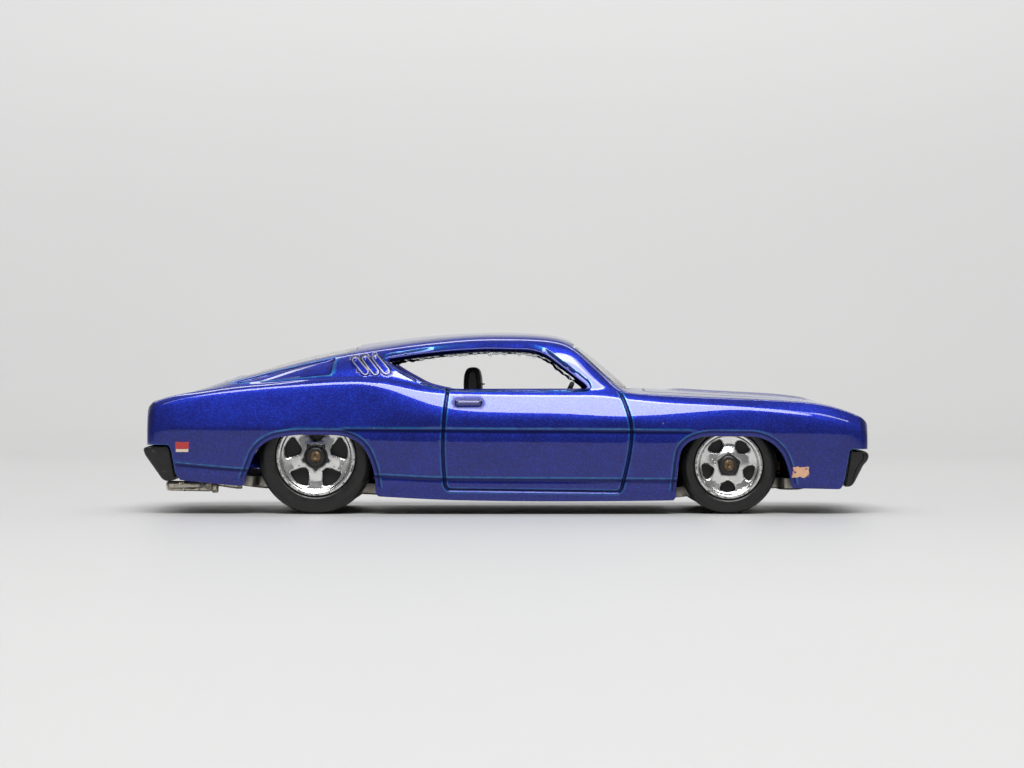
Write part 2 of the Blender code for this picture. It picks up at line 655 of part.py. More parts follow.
def build_grille(material, parts, cutters):
    """The grille plate, with slots between its bars and four round lamps."""
    front = NOSE_X - 0.6
    low, high = GRILLE["low"] + GAP, GRILLE["high"] - GAP
    outline = [(front - GRILLE["thick"], low), (front, low), (front, high), (front - GRILLE["thick"], high)]
    half = GRILLE["half_width"] - GAP
    plate = bar_across("grille_insert", outline, half, NOSE_BOW, material, parts, end_round=0.01)
    lamps = []
    middle = (low + high) / 2
    for side in (-1, 1):
        for y in LAMP_CENTRES:
            centre = (side * y, middle)
            lamps.append(cylinder("lamp", LAMP_RADIUS, front - 0.6, front + 0.45, centre, "X", None, cutters, 14))
    consume(plate, lamps, "UNION")
    slots = []
    for z in (middle - 0.45, middle + 0.15):
        slots.append(box("slot", (front - 0.35, -6.2, z), (front + 2.0, 6.2, z + 0.3), None, cutters))
    return consume(plate, slots, "DIFFERENCE")


# ---- base ----

BASE_SIDE = [
    (-33.6, 3.9), (-26.8, 2.9), (-13.0, BASE_BOTTOM), (17.4, BASE_BOTTOM), (28.6, 2.75), (35.2, 2.85),
    (35.2, 3.9), (28.0, 3.8), (17.0, BASE_BOTTOM + BASE_THICK), (-12.8, BASE_BOTTOM + BASE_THICK),
    (-26.4, 4.0), (-33.6, 5.0),
]
BASE_HALF_WIDTH = 12.5
BASE_NECK = 8.8  # half width between the wheels
AXLE_BOX = {"half_length": 1.5, "half_width": 8.5, "above": 1.1}
EXHAUST_Y = -8.6
MUFFLER = [(-38.0, 0.52, 2.95), (-34.2, 0.55, 2.95)]


def build_base(material, parts, cutters):
    base = prism("base_plate", BASE_SIDE, -BASE_HALF_WIDTH, BASE_HALF_WIDTH, "Y", material, parts)
    boxes = []
    for x, z in (REAR_AXLE, FRONT_AXLE):
        half = AXLE_BOX["half_length"]
        wide = AXLE_BOX["half_width"]
        boxes.append(box("axle_box", (x - half, -wide, 2.9), (x + half, wide, z + AXLE_BOX["above"]), None, cutters))
    consume(base, boxes, "UNION")
    cuts = []
    for (x, z), room in ((REAR_AXLE, REAR_AXLE[1] + 0.5), (FRONT_AXLE, FRONT_AXLE[1] + 0.5)):
        for side in (-1, 1):
            inner, outer = sorted((side * BASE_NECK, side * 14))
            cuts.append(box("wheel_room", (x - room, inner, 0), (x + room, outer, 9), None, cutters))
        cuts.append(cylinder("axle_hole", AXLE_RADIUS + GAP, -12, 12, (x, z), "Y", None, cutters, 16))
    for x, _ in RIVETS.values():
        cuts.append(cylinder("rivet_hole", RIVET_RADIUS + GAP, 0, 9, (x, 0), "Z", None, cutters, 16))
    return consume(base, cuts, "DIFFERENCE")


def base_underside(x):
    """Height of the base plate's lower face at x."""
    low_side = BASE_SIDE[:6]
    return float(np.interp(x, [p[0] for p in low_side], [p[1] for p in low_side]))


def build_rivets(material, parts):
    for name, (x, top) in RIVETS.items():
        face = base_underside(x) - 0.25
        profile = [
            (0.0, top), (RIVET_RADIUS, top), (RIVET_RADIUS, face), (RIVET_HEAD_RADIUS, face),
            (RIVET_HEAD_RADIUS - 0.3, face - RIVET_HEAD_THICK), (0.0, face - RIVET_HEAD_THICK),
        ]
        rivet = turned(name, profile, 18, material, parts)
        rivet.location = (x * MM, 0, 0)
        shade(rivet)


def build_exhaust(material, parts, cutters):
    """The tail of the exhaust: a flat muffler, a clamp and a pipe that runs forward and up."""
    for side, name in ((-1, "exhaust_right"), (1, "exhaust_left")):
        y = side * 9.4
        pipe = box(name, (-36.3, y - 0.9, 2.35), (-31.9, y + 0.9, 3.4), material, parts)
        clamp = box("clamp", (-32.0, y - 0.6, 2.2), (-31.2, y + 0.6, 3.1), None, cutters)
        tail_side = [(x, base_underside(x) - drop) for x, drop in ((-31.6, 1.1), (-28.4, 0.65), (-28.4, 0.2), (-31.6, 0.5))]
        tail = prism("tail", tail_side, y - 0.35, y + 0.35, "Y", None, cutters)
        consume(pipe, [clamp, tail], "UNION")


# ---- running gear ----

def rim_profile(rim, face, inner):
    """The spoked wheel as (radius, distance out): barrel, dished face and hub."""
    bore = AXLE_RADIUS + GAP
    return [
        (bore, face - 0.1), (1.25, face - 0.1), (1.35, face - 0.55), (rim - 0.55, face - 0.75),
        (rim - 0.3, face - 0.1), (rim, face - 0.2), (rim, inner + 0.2), (rim - 0.5, inner + 0.2),
        (rim - 0.6, face - 1.4), (1.6, face - 1.5), (1.4, inner + 0.2), (bore, inner + 0.2),
    ]


def tyre_profile(radius, rim, face, inner):
    bore = rim + GAP
    return [
        (bore, face - 0.3), (rim + 0.5, face), (radius - 0.75, face - 0.05), (radius - 0.15, face - 0.55),
        (radius, face - 1.05), (radius, inner + 0.6), (radius - 0.5, inner), (bore, inner + 0.1),
    ]


def window_outline(rim, angle, centre):
    """One gap between spokes: a triangle with its corners cut, apex towards the hub."""
    points = []
    for radius, spread in ((rim * 0.4, -9), (rim * 0.72, -20), (rim * 0.8, -14), (rim * 0.8, 14), (rim * 0.72, 20), (rim * 0.4, 9)):
        turn = math.radians(angle + spread)
        points.append((centre[0] + radius * math.cos(turn), centre[1] + radius * math.sin(turn)))
    return points


def place_turned(obj, axle, side):
    """Stands a shape turned about local Z on the axle line, its face out to the given side."""
    obj.location = (axle[0] * MM, 0, axle[1] * MM)
    obj.rotation_euler = (-side * math.pi / 2, 0, 0)


def build_wheel(name, tyre_name, axle, side, face, width, rim, turn, materials, parts, cutters):
    inner = face - width
    wheel = turned(name, rim_profile(rim, face, inner), 20, materials["wheel"], parts)
    apply_modifiers(wheel)
    cuts = []
    for i in range(SPOKES):
        angle = turn + 360 / SPOKES * i
        if side > 0:
            angle = -angle
        outline = window_outline(rim, angle, (0, 0))
        cuts.append(prism("gap", outline, face - 2.0, face + 1.0, "Z", None, cutters))
    consume(wheel, cuts, "DIFFERENCE")
    place_turned(wheel, axle, side)
    shade(wheel)
    tyre = turned(tyre_name, tyre_profile(axle[1], rim, face, inner), 32, materials["tyre"], parts)
    place_turned(tyre, axle, side)
    shade(tyre)


def build_axle(name, axle, face, material, parts):
    """A steel wire with a formed head past each wheel."""
    out = face + GAP - 0.1
    head = out + AXLE_HEAD_THICK
    profile = [
        (0.0, head), (AXLE_HEAD_RADIUS - 0.2, head), (AXLE_HEAD_RADIUS, out + 0.1), (AXLE_HEAD_RADIUS, out),
        (AXLE_RADIUS, out), (AXLE_RADIUS, -out), (AXLE_HEAD_RADIUS, -out), (AXLE_HEAD_RADIUS, -out - 0.1),
        (AXLE_HEAD_RADIUS - 0.2, -head), (0.0, -head),
    ]
    made = turned(name, profile, 16, material, parts)
    place_turned(made, axle, 1)
    shade(made)


def build_running_gear(materials, parts, cutters):
    for end, axle, face, width, rim, turn in (
        ("front", FRONT_AXLE, FRONT_WHEEL_FACE, FRONT_TYRE_WIDTH, FRONT_RIM_RADIUS, FRONT_WINDOW_TURN),
        ("rear", REAR_AXLE, REAR_WHEEL_FACE, REAR_TYRE_WIDTH, REAR_RIM_RADIUS, REAR_WINDOW_TURN),
    ):
        build_axle(f"{end}_axle", axle, face, materials["steel"], parts)
        for side, hand in ((1, "left"), (-1, "right")):
            names = (f"wheel_{end}_{hand}", f"tyre_{end}_{hand}")
            build_wheel(*names, axle, side, face, width, rim, turn, materials, parts, cutters)


def main():
    clear_scene()
    parts = make_collection("diecast_collector_car")
    cutters = make_collection("cutters")
    materials = {
        "paint": make_material("candy_blue_paint", (0.01, 0.03, 0.42), 0.18, 0.6),
        "black": make_material("satin_black_plastic", (0.012, 0.012, 0.013), 0.45),
        "clear": make_material("clear_plastic", (0.9, 0.93, 0.95), 0.05, 0.0, 0.25),
        "base": make_material("bare_cast_metal", (0.55, 0.52, 0.47), 0.35, 1.0),
        "steel": make_material("axle_steel", (0.4, 0.36, 0.32), 0.4, 1.0),
        "wheel": make_material("stamped_chrome", (0.75, 0.74, 0.72), 0.15, 1.0),
        "tyre": make_material("black_tyre", (0.01, 0.01, 0.01), 0.35),
    }
    build_body(materials["paint"], parts, cutters)
    build_windows(materials["clear"], parts, cutters)
    build_interior(materials["black"], parts, cutters)
    build_bumpers(materials["black"], parts)
    build_grille(materials["black"], parts, cutters)
    build_base(materials["base"], parts, cutters)
    build_rivets(materials["base"], parts)
    build_exhaust(materials["base"], parts, cutters)
    build_running_gear(materials, parts, cutters)


main()
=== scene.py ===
"""The looks of the die-cast collector car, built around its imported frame.

Sizes are in millimetres and become metres in Patch.object. The body surface follows the CAD loft, with a
fuller roof edge and a sharper shoulder at both ends: seven long lines give the corners of a rounded section
at each x. Openings, grooves and lips are paths on such a surface: the mesher lays edges along each path, and
presses the surface in or out by the distance from it.
"""

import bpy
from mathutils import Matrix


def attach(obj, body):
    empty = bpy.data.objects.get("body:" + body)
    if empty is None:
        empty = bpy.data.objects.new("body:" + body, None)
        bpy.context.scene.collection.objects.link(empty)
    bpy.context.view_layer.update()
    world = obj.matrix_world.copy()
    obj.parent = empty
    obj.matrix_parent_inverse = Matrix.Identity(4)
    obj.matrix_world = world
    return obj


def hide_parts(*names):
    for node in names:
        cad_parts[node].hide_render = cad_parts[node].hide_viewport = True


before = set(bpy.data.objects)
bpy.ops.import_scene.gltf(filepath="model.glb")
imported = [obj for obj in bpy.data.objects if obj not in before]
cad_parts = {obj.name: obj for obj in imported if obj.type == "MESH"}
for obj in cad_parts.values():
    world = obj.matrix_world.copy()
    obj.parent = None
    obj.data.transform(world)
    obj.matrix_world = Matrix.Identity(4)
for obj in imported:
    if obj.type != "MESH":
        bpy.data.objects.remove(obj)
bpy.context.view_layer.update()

import math

import bpy
import numpy as np
from mathutils import Matrix, Vector, kdtree
from mathutils.geometry import delaunay_2d_cdt, tessellate_polygon

MM = 0.001
WALL = 0.8  # thickness of the body casting
TAIL_X, NOSE_X = -38.66, 38.85  # the body's ends, before they bow out in plan
END_ROUND = 0.9  # radius from the flanks and the top into both ends
TAIL_BOW, NOSE_BOW = 0.35, 0.5  # how far the middle of each end stands out
BOW_START = 33.0  # |x| where the bow begins
HALF_END = 13.0  # half the width over which an end bows
TINY = 1e-9
FULL_TURN = 2 * math.pi

# the seven long lines, each as (x, y, z) points on the car's left side
ROOF_CENTRE = [
    (-38.7, 0, 12.2), (-37.2, 0, 12.55), (-34.8, 0, 13.15), (-31.6, 0, 14.2), (-30.0, 0, 14.85),
    (-27.4, 0, 15.72), (-24.0, 0, 16.74), (-20.5, 0, 17.6), (-16.4, 0, 18.38), (-12.7, 0, 18.9),
    (-8.2, 0, 19.42), (-4.0, 0, 19.7), (-0.2, 0, 19.79), (3.8, 0, 19.62), (5.8, 0, 19.3),
    (7.2, 0, 18.85), (9.9, 0, 17.0), (12.75, 0, 14.6), (13.9, 0, 13.68), (15.0, 0, 13.6),
    (19.3, 0, 13.38), (23.1, 0, 13.15), (29.4, 0, 12.8), (32.0, 0, 12.52), (34.5, 0, 12.05),
    (36.8, 0, 11.35), (38.2, 0, 10.6), (38.85, 0, 10.15),
]
ROOF_EDGE = [
    (-38.7, 11.3, 12.0), (-37.2, 11.4, 12.35), (-34.8, 11.3, 12.9), (-31.6, 11.0, 13.8),
    (-29.75, 10.8, 14.4), (-25.4, 10.6, 15.5), (-22.1, 10.45, 16.4), (-18.3, 10.2, 17.25),
    (-13.3, 9.8, 18.12), (-7.8, 9.5, 18.82), (-2.1, 9.35, 19.24), (2.7, 9.35, 19.2),
    (5.0, 9.55, 19.0), (6.4, 9.8, 18.66), (7.4, 10.15, 18.1), (9.64, 11.0, 15.9),
    (12.1, 11.75, 13.65), (13.2, 11.9, 13.1), (18.6, 11.6, 12.85), (28.2, 11.2, 12.42),
    (33.1, 11.0, 12.0), (36.4, 10.9, 11.2), (38.0, 10.8, 10.5), (38.85, 10.8, 10.05),
]
BELT = [
    (-38.7, 12.5, 11.7), (-37.4, 12.6, 12.3), (-36.65, 12.65, 12.6), (-33.4, 12.7, 13.2),
    (-29.3, 12.75, 13.8), (-24.0, 12.85, 14.25), (-18.8, 12.95, 14.7), (-14.8, 13.0, 14.8),
    (-11.5, 12.95, 14.4), (-8.5, 12.9, 13.85), (-5.5, 12.85, 13.6), (0.0, 12.8, 13.52),
    (6.0, 12.8, 13.45), (10.0, 12.8, 13.36), (13.0, 12.8, 13.05), (18.6, 12.8, 12.7),
    (28.2, 12.75, 12.28), (33.1, 12.6, 11.95), (36.4, 12.4, 11.2), (38.0, 12.3, 10.55),
    (38.85, 12.2, 10.1),
]
SHOULDER = [
    (-38.7, 13.1, 10.9), (-37.2, 13.3, 11.75), (-33.4, 13.4, 12.75), (-29.7, 13.45, 13.3),
    (-21.9, 13.55, 13.95), (-15.7, 13.65, 14.2), (-12.0, 13.85, 13.45), (-8.0, 13.95, 12.4),
    (-4.0, 13.9, 12.0), (5.0, 13.9, 11.8), (13.0, 13.85, 11.5), (18.0, 13.82, 11.5),
    (23.0, 13.78, 11.55), (28.2, 13.72, 11.2), (31.8, 13.65, 10.75), (35.8, 13.4, 10.05), (38.85, 12.9, 9.2),
]
SIDE_LINE = [
    (-38.7, 13.5, 9.4), (-36.0, 13.95, 9.35), (-30.0, 14.3, 9.28), (-20.0, 14.5, 9.22),
    (0.0, 14.5, 9.16), (15.0, 14.4, 9.08), (28.0, 14.1, 8.95), (34.0, 13.8, 8.85),
    (37.0, 13.5, 8.75), (38.85, 13.2, 8.6),
]
LOWER_LINE = [
    (-38.7, 13.5, 5.9), (-35.2, 13.9, 5.46), (-28.15, 14.2, 4.84), (-14.0, 14.35, 4.2),
    (-6.0, 14.4, 3.85), (10.0, 14.35, 3.75), (18.0, 14.25, 3.7), (30.0, 13.9, 3.95),
    (36.0, 13.5, 4.1), (38.85, 13.2, 4.2),
]
SILL_FOOT = [
    (-38.7, 13.2, 4.2), (-36.0, 13.3, 3.8), (-29.0, 13.5, 3.1), (-20.5, 13.7, 2.5),
    (-14.0, 13.75, 1.95), (-4.0, 13.8, 1.5), (5.6, 13.75, 1.41), (17.7, 13.65, 1.5),
    (24.0, 13.6, 2.2), (30.0, 13.45, 2.8), (36.0, 13.1, 2.68), (38.85, 12.9, 2.6),
]
LONG_LINES = (ROOF_CENTRE, ROOF_EDGE, BELT, SHOULDER, SIDE_LINE, LOWER_LINE, SILL_FOOT)
# by x: how far the long lines are smoothed, and how much the cabin's side swells
SOFTNESS = [(-40, 1.2), (2, 1.2), (6.5, 0.8), (11.5, 0.8), (13.5, 0.45), (16, 0.8), (20, 1.2), (40, 1.2)]
SIDE_BULGE = [(-40, 0.03), (-31, 0.05), (-27, 0.1), (-14, 0.25), (4, 0.25), (10, 0.15), (14, 0.03), (40, 0.03)]
BULGE = (0.0, None, 0.12, 0.18, 0.02, 0.12)  # of each span between long lines; None is SIDE_BULGE
CORNER_ROUND = np.array([0.3, 0.2, 0.16, 0.42, 0.06, 0.09, 0.0])  # at each long line, in spans
SHOULDER_LINE = 3
CREASE = [(-40, 1.0), (-14.5, 1.0), (-8.0, 0.0), (13.0, 0.0), (26.0, 1.0), (40, 1.0)]  # sharp shoulder at 1
CREASE_FLAT, CREASE_SHARP = 0.75, 0.55  # how much it takes from the bulges beside it and from its round
SPANS = len(LONG_LINES) - 1
LEAST_ROUND = 0.002
X_GRID = np.linspace(-46.0, 46.0, 4601)
# the distance along a section, in about millimetres, where each section corner lies
CORNER_AT = np.array([0.0, 10.2, 14.6, 16.6, 19.6, 24.6, 27.0])
ROOF_EDGE_AT, BELT_AT, SHOULDER_AT = CORNER_AT[1:4]
FOOT_AT = CORNER_AT[-1]
PAST_FOOT = 4.0  # how far outlines may run past the foot
ACROSS_TABLE = np.linspace(0.0, FOOT_AT + PAST_FOOT, 1241)
WELD = 0.001  # corners closer than this become one
BORDER_STEP = 0.45  # between points along a patch's straight border
INSIDE_SHADE = 0.55  # painted shade on inner faces: how dark they are
BATCH = 2000  # points measured at once


def unit(vectors):
    """Rows of vectors, each made one long."""
    return vectors / np.maximum(np.linalg.norm(vectors, axis=1, keepdims=True), TINY)


def rectangle(low_x, low_z, high_x, high_z):
    return [(low_x, low_z), (high_x, low_z), (high_x, high_z), (low_x, high_z)]


def finder(points):
    """A finder of the nearest of some flat points."""
    tree = kdtree.KDTree(len(points))
    for i, (u, v) in enumerate(points):
        tree.insert((u, v, 0.0), i)
    tree.balance()
    return tree


def linked(name, data):
    """A new object in the scene."""
    obj = bpy.data.objects.new(name, data)
    bpy.context.scene.collection.objects.link(obj)
    return obj


# ---- the body surface ----

def monotone_curve(x, points):
    """A cubic through (x, value) points that never overshoots them, straight past its ends."""
    px, pv = (np.array(column, dtype=float) for column in zip(*points))
    step = np.diff(px)
    slope = np.diff(pv) / step
    tangent = np.zeros_like(px)
    tangent[0], tangent[-1] = slope[0], slope[-1]
    same_way = slope[:-1] * slope[1:] > 0
    w1 = 2 * step[1:] + step[:-1]
    w2 = step[1:] + 2 * step[:-1]
    mean = (w1 + w2) / (w1 / np.where(same_way, slope[:-1], 1) + w2 / np.where(same_way, slope[1:], 1))
    tangent[1:-1] = np.where(same_way, mean, 0.0)
    i = np.clip(np.searchsorted(px, x) - 1, 0, len(px) - 2)
    t = np.clip((x - px[i]) / step[i], 0.0, 1.0)
    value = (
        pv[i] * (1 + 2 * t) * (1 - t) ** 2 + tangent[i] * step[i] * t * (1 - t) ** 2
        + pv[i + 1] * t * t * (3 - 2 * t) + tangent[i + 1] * step[i] * t * t * (t - 1)
    )
    before = np.minimum(x - px[0], 0.0) * tangent[0]
    after = np.maximum(x - px[-1], 0.0) * tangent[-1]
    return value + before + after


def box_average(values, reach):
    """Each value becomes the mean of its neighbours within reach, on X_GRID."""
    area = np.concatenate([[0.0], np.cumsum((values[1:] + values[:-1]) / 2 * np.diff(X_GRID))])
    low, high = X_GRID - reach, X_GRID + reach
    inside = (low >= X_GRID[0]) & (high <= X_GRID[-1])
    mean = (np.interp(high, X_GRID, area) - np.interp(low, X_GRID, area)) / (2 * reach)
    return np.where(inside, mean, values)


def long_line(points):
    """The y and z of one long line on X_GRID, smoothed twice along x."""
    reach = np.interp(X_GRID, *zip(*SOFTNESS))
    out = []
    for column in (1, 2):
        values = monotone_curve(X_GRID, [(p[0], p[column]) for p in points])
        for _ in range(2):
            values = box_average(values, reach)
        out.append(values)
    return out


LINE_TABLES = [long_line(points) for points in LONG_LINES]


def span_area(a, b, bulge, t):
    """The integral from 0 to t of a span from point a to point b that bulges outwards."""
    run = b - a
    length = np.maximum(np.linalg.norm(run, axis=0), TINY)
    out = np.stack([-run[1], run[0]]) / length
    return a * t + run * t * t / 2 + 4 * bulge * out * (t * t / 2 - t**3 / 3)


def roof_area(a, b, t):
    """The same for the first span: y grows evenly and z falls as a parabola."""
    y = b[0] * t * t / 2
    z = a[1] * t + (b[1] - a[1]) * t**3 / 3
    return np.stack([y, z])


def section_area(keys, bulges, s):
    """The integral of the section polygon from the roof centre to parameter s."""
    side = np.sign(s)
    s = np.abs(s)
    total = np.zeros((2,) + s.shape)
    for k in range(SPANS):
        t = np.clip(s - k, 0.0, 1.0) if k < SPANS - 1 else np.maximum(s - k, 0.0)
        if k == 0:
            total += roof_area(keys[0], keys[1], t)
        else:
            total += span_area(keys[k], keys[k + 1], bulges[k], t)
    total[1] *= np.where(side < 0, -1.0, 1.0)
    return total


def section(x, v):
    """The section's (y, z) at each x and each parameter v, from 0 at the roof centre to SPANS."""
    x, v = np.broadcast_arrays(np.asarray(x, dtype=float), np.asarray(v, dtype=float))
    keys = [np.stack([np.interp(x, X_GRID, table) for table in pair]) for pair in LINE_TABLES]
    side_bulge = np.interp(x, *zip(*SIDE_BULGE))
    bulges = [side_bulge if b is None else b for b in BULGE]
    crease = np.interp(x, *zip(*CREASE))
    for beside in (SHOULDER_LINE - 1, SHOULDER_LINE):
        bulges[beside] = bulges[beside] * (1 - CREASE_FLAT * crease)
    k = np.clip(np.floor(v).astype(int), 0, SPANS - 1)
    blend = (1 - np.cos(np.pi * (v - k))) / 2
    near, far = (
        CORNER_ROUND[i] * np.where(i == SHOULDER_LINE, 1 - CREASE_SHARP * crease, 1.0) for i in (k, k + 1)
    )
    reach = np.maximum(near * (1 - blend) + far * blend, LEAST_ROUND)
    high = section_area(keys, bulges, v + reach)
    low = section_area(keys, bulges, v - reach)
    return (high - low) / (2 * reach)


def bowed(x, y):
    """x moved out towards the middle of the tail and of the nose."""
    share = np.clip((np.abs(x) - BOW_START) / (NOSE_X - BOW_START), 0.0, 1.0)
    bow = np.where(x > 0, NOSE_BOW, -TAIL_BOW)
    return x + bow * share**2 * (1 - (y / HALF_END) ** 2)


def parameter_at(across):
    """The section parameter at a distance from the roof's centre; it runs on past the foot."""
    past_foot = np.maximum(across - FOOT_AT, 0.0) / (FOOT_AT - CORNER_AT[-2])
    return np.interp(across, CORNER_AT, np.arange(SPANS + 1.0)) + past_foot


def skin(along, across):
    """Points of the body surface; along is x, and turns into the round's arc at both ends."""
    past = np.maximum(np.maximum(TAIL_X + END_ROUND - along, along - NOSE_X + END_ROUND), 0.0)
    turn = past / END_ROUND * math.pi / 2
    x = along + np.sign(along) * (END_ROUND * np.sin(turn) - past)
    shrink = END_ROUND * (1 - np.cos(turn))
    y, z = section(x, parameter_at(np.abs(across)))
    y = (y - shrink * y / HALF_END) * np.sign(across)
    z = z - shrink * np.clip((z - 5.0) / 7.0, 0.0, 1.0)  # the top draws in, the foot doesn't
    return np.stack([bowed(x, y), y, z], axis=-1)


def skin_with_normal(along, across):
    step = 0.01
    run = skin(along + step, across) - skin(along - step, across)
    rise = skin(along, across + step) - skin(along, across - step)
    return skin(along, across), unit(np.cross(run, rise))


def unrolled(x):
    """The value of along at which the surface reaches a given x."""
    start = (NOSE_X if x > 0 else -TAIL_X) - END_ROUND
    past = (abs(x) - start) / END_ROUND
    if past <= 0 or past >= 1:
        return x
    return math.copysign(start + math.asin(past) * END_ROUND * 2 / math.pi, x)


def from_side(points):
    """Turns side-view (x, z) points into (along, across) on the body's flank."""
    table = ACROSS_TABLE[ACROSS_TABLE >= 5.0]  # the flank and the cabin's side
    out = []
    for x, z in points:
        along = unrolled(x)
        heights = skin(np.full(table.shape, along), table)[:, 2]
        falling = np.minimum.accumulate(heights)
        out.append((along, float(np.interp(-z, -falling, table))))
    return np.array(out)


def from_top(points):
    """Turns plan-view (x, y) points into (along, across) on the upper surface."""
    table = ACROSS_TABLE[ACROSS_TABLE <= 17.5]  # down to just past the shoulder
    out = []
    for x, y in points:
        along = unrolled(x)
        widths = skin(np.full(table.shape, along), table)[:, 1]
        across = float(np.interp(abs(y), np.maximum.accumulate(widths), table))
        out.append((along, math.copysign(across, y)))
    return np.array(out)


def from_front(points, low_x, high_x):
    """Turns front-view (y, z) points into (along, across) on a slope between two x."""
    table = ACROSS_TABLE[ACROSS_TABLE <= 14.0]  # down to the belt
    rows = np.linspace(low_x, high_x, 90)
    grid = [skin(np.full(table.shape, x), table) for x in rows]
    out = []
    for y, z in points:
        across = [float(np.interp(abs(y), np.maximum.accumulate(g[:, 1]), table)) for g in grid]
        heights = np.array([np.interp(a, table, g[:, 2]) for a, g in zip(across, grid)])
        falling = np.minimum.accumulate(heights)
        along = float(np.interp(-z, -falling, rows))
        out.append((along, math.copysign(float(np.interp(along, rows, across)), y)))
    return np.array(out)


# ---- outlines ----

def rounded(points, closed=True, radius=1.0, spacing=0.22):
    """A polygon with its corners rounded; a point may carry its own radius as a third value."""
    flat = [np.array(p[:2], dtype=float) for p in points]
    radii = [p[2] if len(p) > 2 else radius for p in points]
    count = len(flat)
    out = []
    for i in range(count):
        here = flat[i]
        if not closed and i in (0, count - 1):
            out.append(here)
            continue
        back = flat[i - 1] - here
        ahead = flat[(i + 1) % count] - here
        reach = min(radii[i], np.linalg.norm(back) / 2, np.linalg.norm(ahead) / 2)
        start = here + back / np.linalg.norm(back) * reach
        end = here + ahead / np.linalg.norm(ahead) * reach
        for t in np.linspace(0, 1, max(4, int(reach / spacing) * 2 + 2)):
            out.append(start * (1 - t) ** 2 + here * 2 * t * (1 - t) + end * t * t)
    return resampled(np.array(out), spacing, closed)


def resampled(line, spacing, closed):
    """Even points along a line; a closed line doesn't repeat its first point."""
    if closed:
        line = np.vstack([line, line[:1]])
    steps = np.linalg.norm(np.diff(line, axis=0), axis=1)
    keep = np.concatenate([[True], steps > TINY])
    line = line[keep]
    at = np.concatenate([[0.0], np.cumsum(np.linalg.norm(np.diff(line, axis=0), axis=1))])
    count = max(3, int(round(at[-1] / spacing)))
    where = np.linspace(0, at[-1], count + 1)
    even = np.stack([np.interp(where, at, line[:, i]) for i in range(line.shape[1])], axis=1)
    return even[:-1] if closed else even


def directions(line, closed):
    """The way the line runs at each of its points."""
    if closed:
        return np.roll(line, -1, axis=0) - np.roll(line, 1, axis=0)
    return np.gradient(line, axis=0)


def offset_line(line, distance, closed):
    """A line moved sideways by a distance, to the left of its direction."""
    run = directions(line, closed)
    left = unit(np.stack([-run[:, 1], run[:, 0]], axis=1))
    return line + left * distance


def signed_area(line):
    x, y = line.T
    return float(np.sum(x * np.roll(y, -1) - np.roll(x, -1) * y)) / 2


def inside(points, polygon):
    """Which points lie in a closed polygon."""
    result = np.zeros(len(points), dtype=bool)
    px, py = points.T
    ax, ay = polygon.T
    bx, by = np.roll(ax, -1), np.roll(ay, -1)
    for x0, y0, x1, y1 in zip(ax, ay, bx, by):
        if y0 == y1:
            continue
        crosses = ((y0 > py) != (y1 > py)) & (px < (x1 - x0) * (py - y0) / (y1 - y0) + x0)
        result ^= crosses
    return result


# ---- paths that cut or press the surface ----

class Path:
    """A line on a patch, cut out as a hole or pressed in within reach of it.

    shape(s) gives the height at signed distance s, and each of marks a strength; rings are distances at
    which further edges run. share(along, across) says how much of them applies there, if not all.
    """

    def __init__(self, line, closed, reach, shape=None, rings=(), hole=False, marks=None, share=None):
        # a closed line runs clockwise, so that its left side is outside it
        self.line = line[::-1] if closed and signed_area(line) > 0 else line
        self.closed, self.reach, self.shape, self.rings = closed, reach, shape, rings
        self.hole, self.marks, self.share = hole, marks or {}, share


def distance_to(path, base, points, normals, flat):
    """Signed distance from a path, in millimetres, and the direction in which it grows."""
    starts = base(*path.line.T)
    ends = np.roll(starts, -1, axis=0)
    if not path.closed:
        starts, ends = starts[:-1], ends[:-1]
    run = ends - starts
    length2 = np.maximum((run**2).sum(axis=1), TINY)
    best = np.zeros(len(points))
    gap = np.zeros_like(points)
    tangent = np.zeros_like(points)
    for first in range(0, len(points), BATCH):
        part = slice(first, first + BATCH)
        to = points[part, None, :] - starts[None]
        t = np.clip((to * run).sum(axis=2) / length2, 0.0, 1.0)
        off = to - t[..., None] * run
        far = (off**2).sum(axis=2)
        i = far.argmin(axis=1)
        rows = np.arange(len(i))
        best[part] = np.sqrt(far[rows, i])
        gap[part] = off[rows, i]
        tangent[part] = run[i] / np.sqrt(length2[i])[:, None]
    side_way = np.cross(normals, tangent)
    if path.closed:
        sign = np.where(inside(flat, path.line), -1.0, 1.0)
    else:
        sign = np.where((gap * side_way).sum(axis=1) >= 0, 1.0, -1.0)
    on_path = best < 1e-6
    grow = np.where(on_path[:, None], side_way, sign[:, None] * gap / np.maximum(best, TINY)[:, None])
    return sign * best, grow


def smooth(t):
    t = np.clip(t, 0.0, 1.0)
    return t * t * (3 - 2 * t)


def rolled_edge(radius):
    """The edge of an opening, rounded over by a radius."""
    return lambda s: np.sqrt(np.maximum(radius**2 - np.clip(radius - s, 0.0, radius) ** 2, 0.0)) - radius


def groove(width, depth):
    """A moulded panel line: a round-bottomed V with soft shoulders."""
    return lambda s: -depth * (1 - smooth(np.abs(s) / width))


def ledge(depth, lip, fade):
    """A crease that drops on its right-hand side and slowly comes back."""
    return lambda s: -depth * smooth(-s / lip) * (1 - smooth((-s - lip) / (fade - lip)))


def turned_in(width, sink):
    """A band beside an opening that slopes in towards it, with a soft bend where it begins."""
    soft = 0.06

    def shape(s):
        inward = width - s
        return -sink * (inward + np.sqrt(inward**2 + soft**2)) / 2 / width
    return shape


def plateau(edge, fall, height):
    """Raised, or sunk, where s is below edge, over a slope of width fall."""
    return lambda s: height * (1 - smooth((s - edge) / fall))


def band(low, high, soft=0.05):
    """A mark between two distances."""
    return lambda s: smooth((s - low) / soft + 0.5) * smooth((high - s) / soft + 0.5)


def total(*shapes):
    return lambda s: sum(shape(s) for shape in shapes)


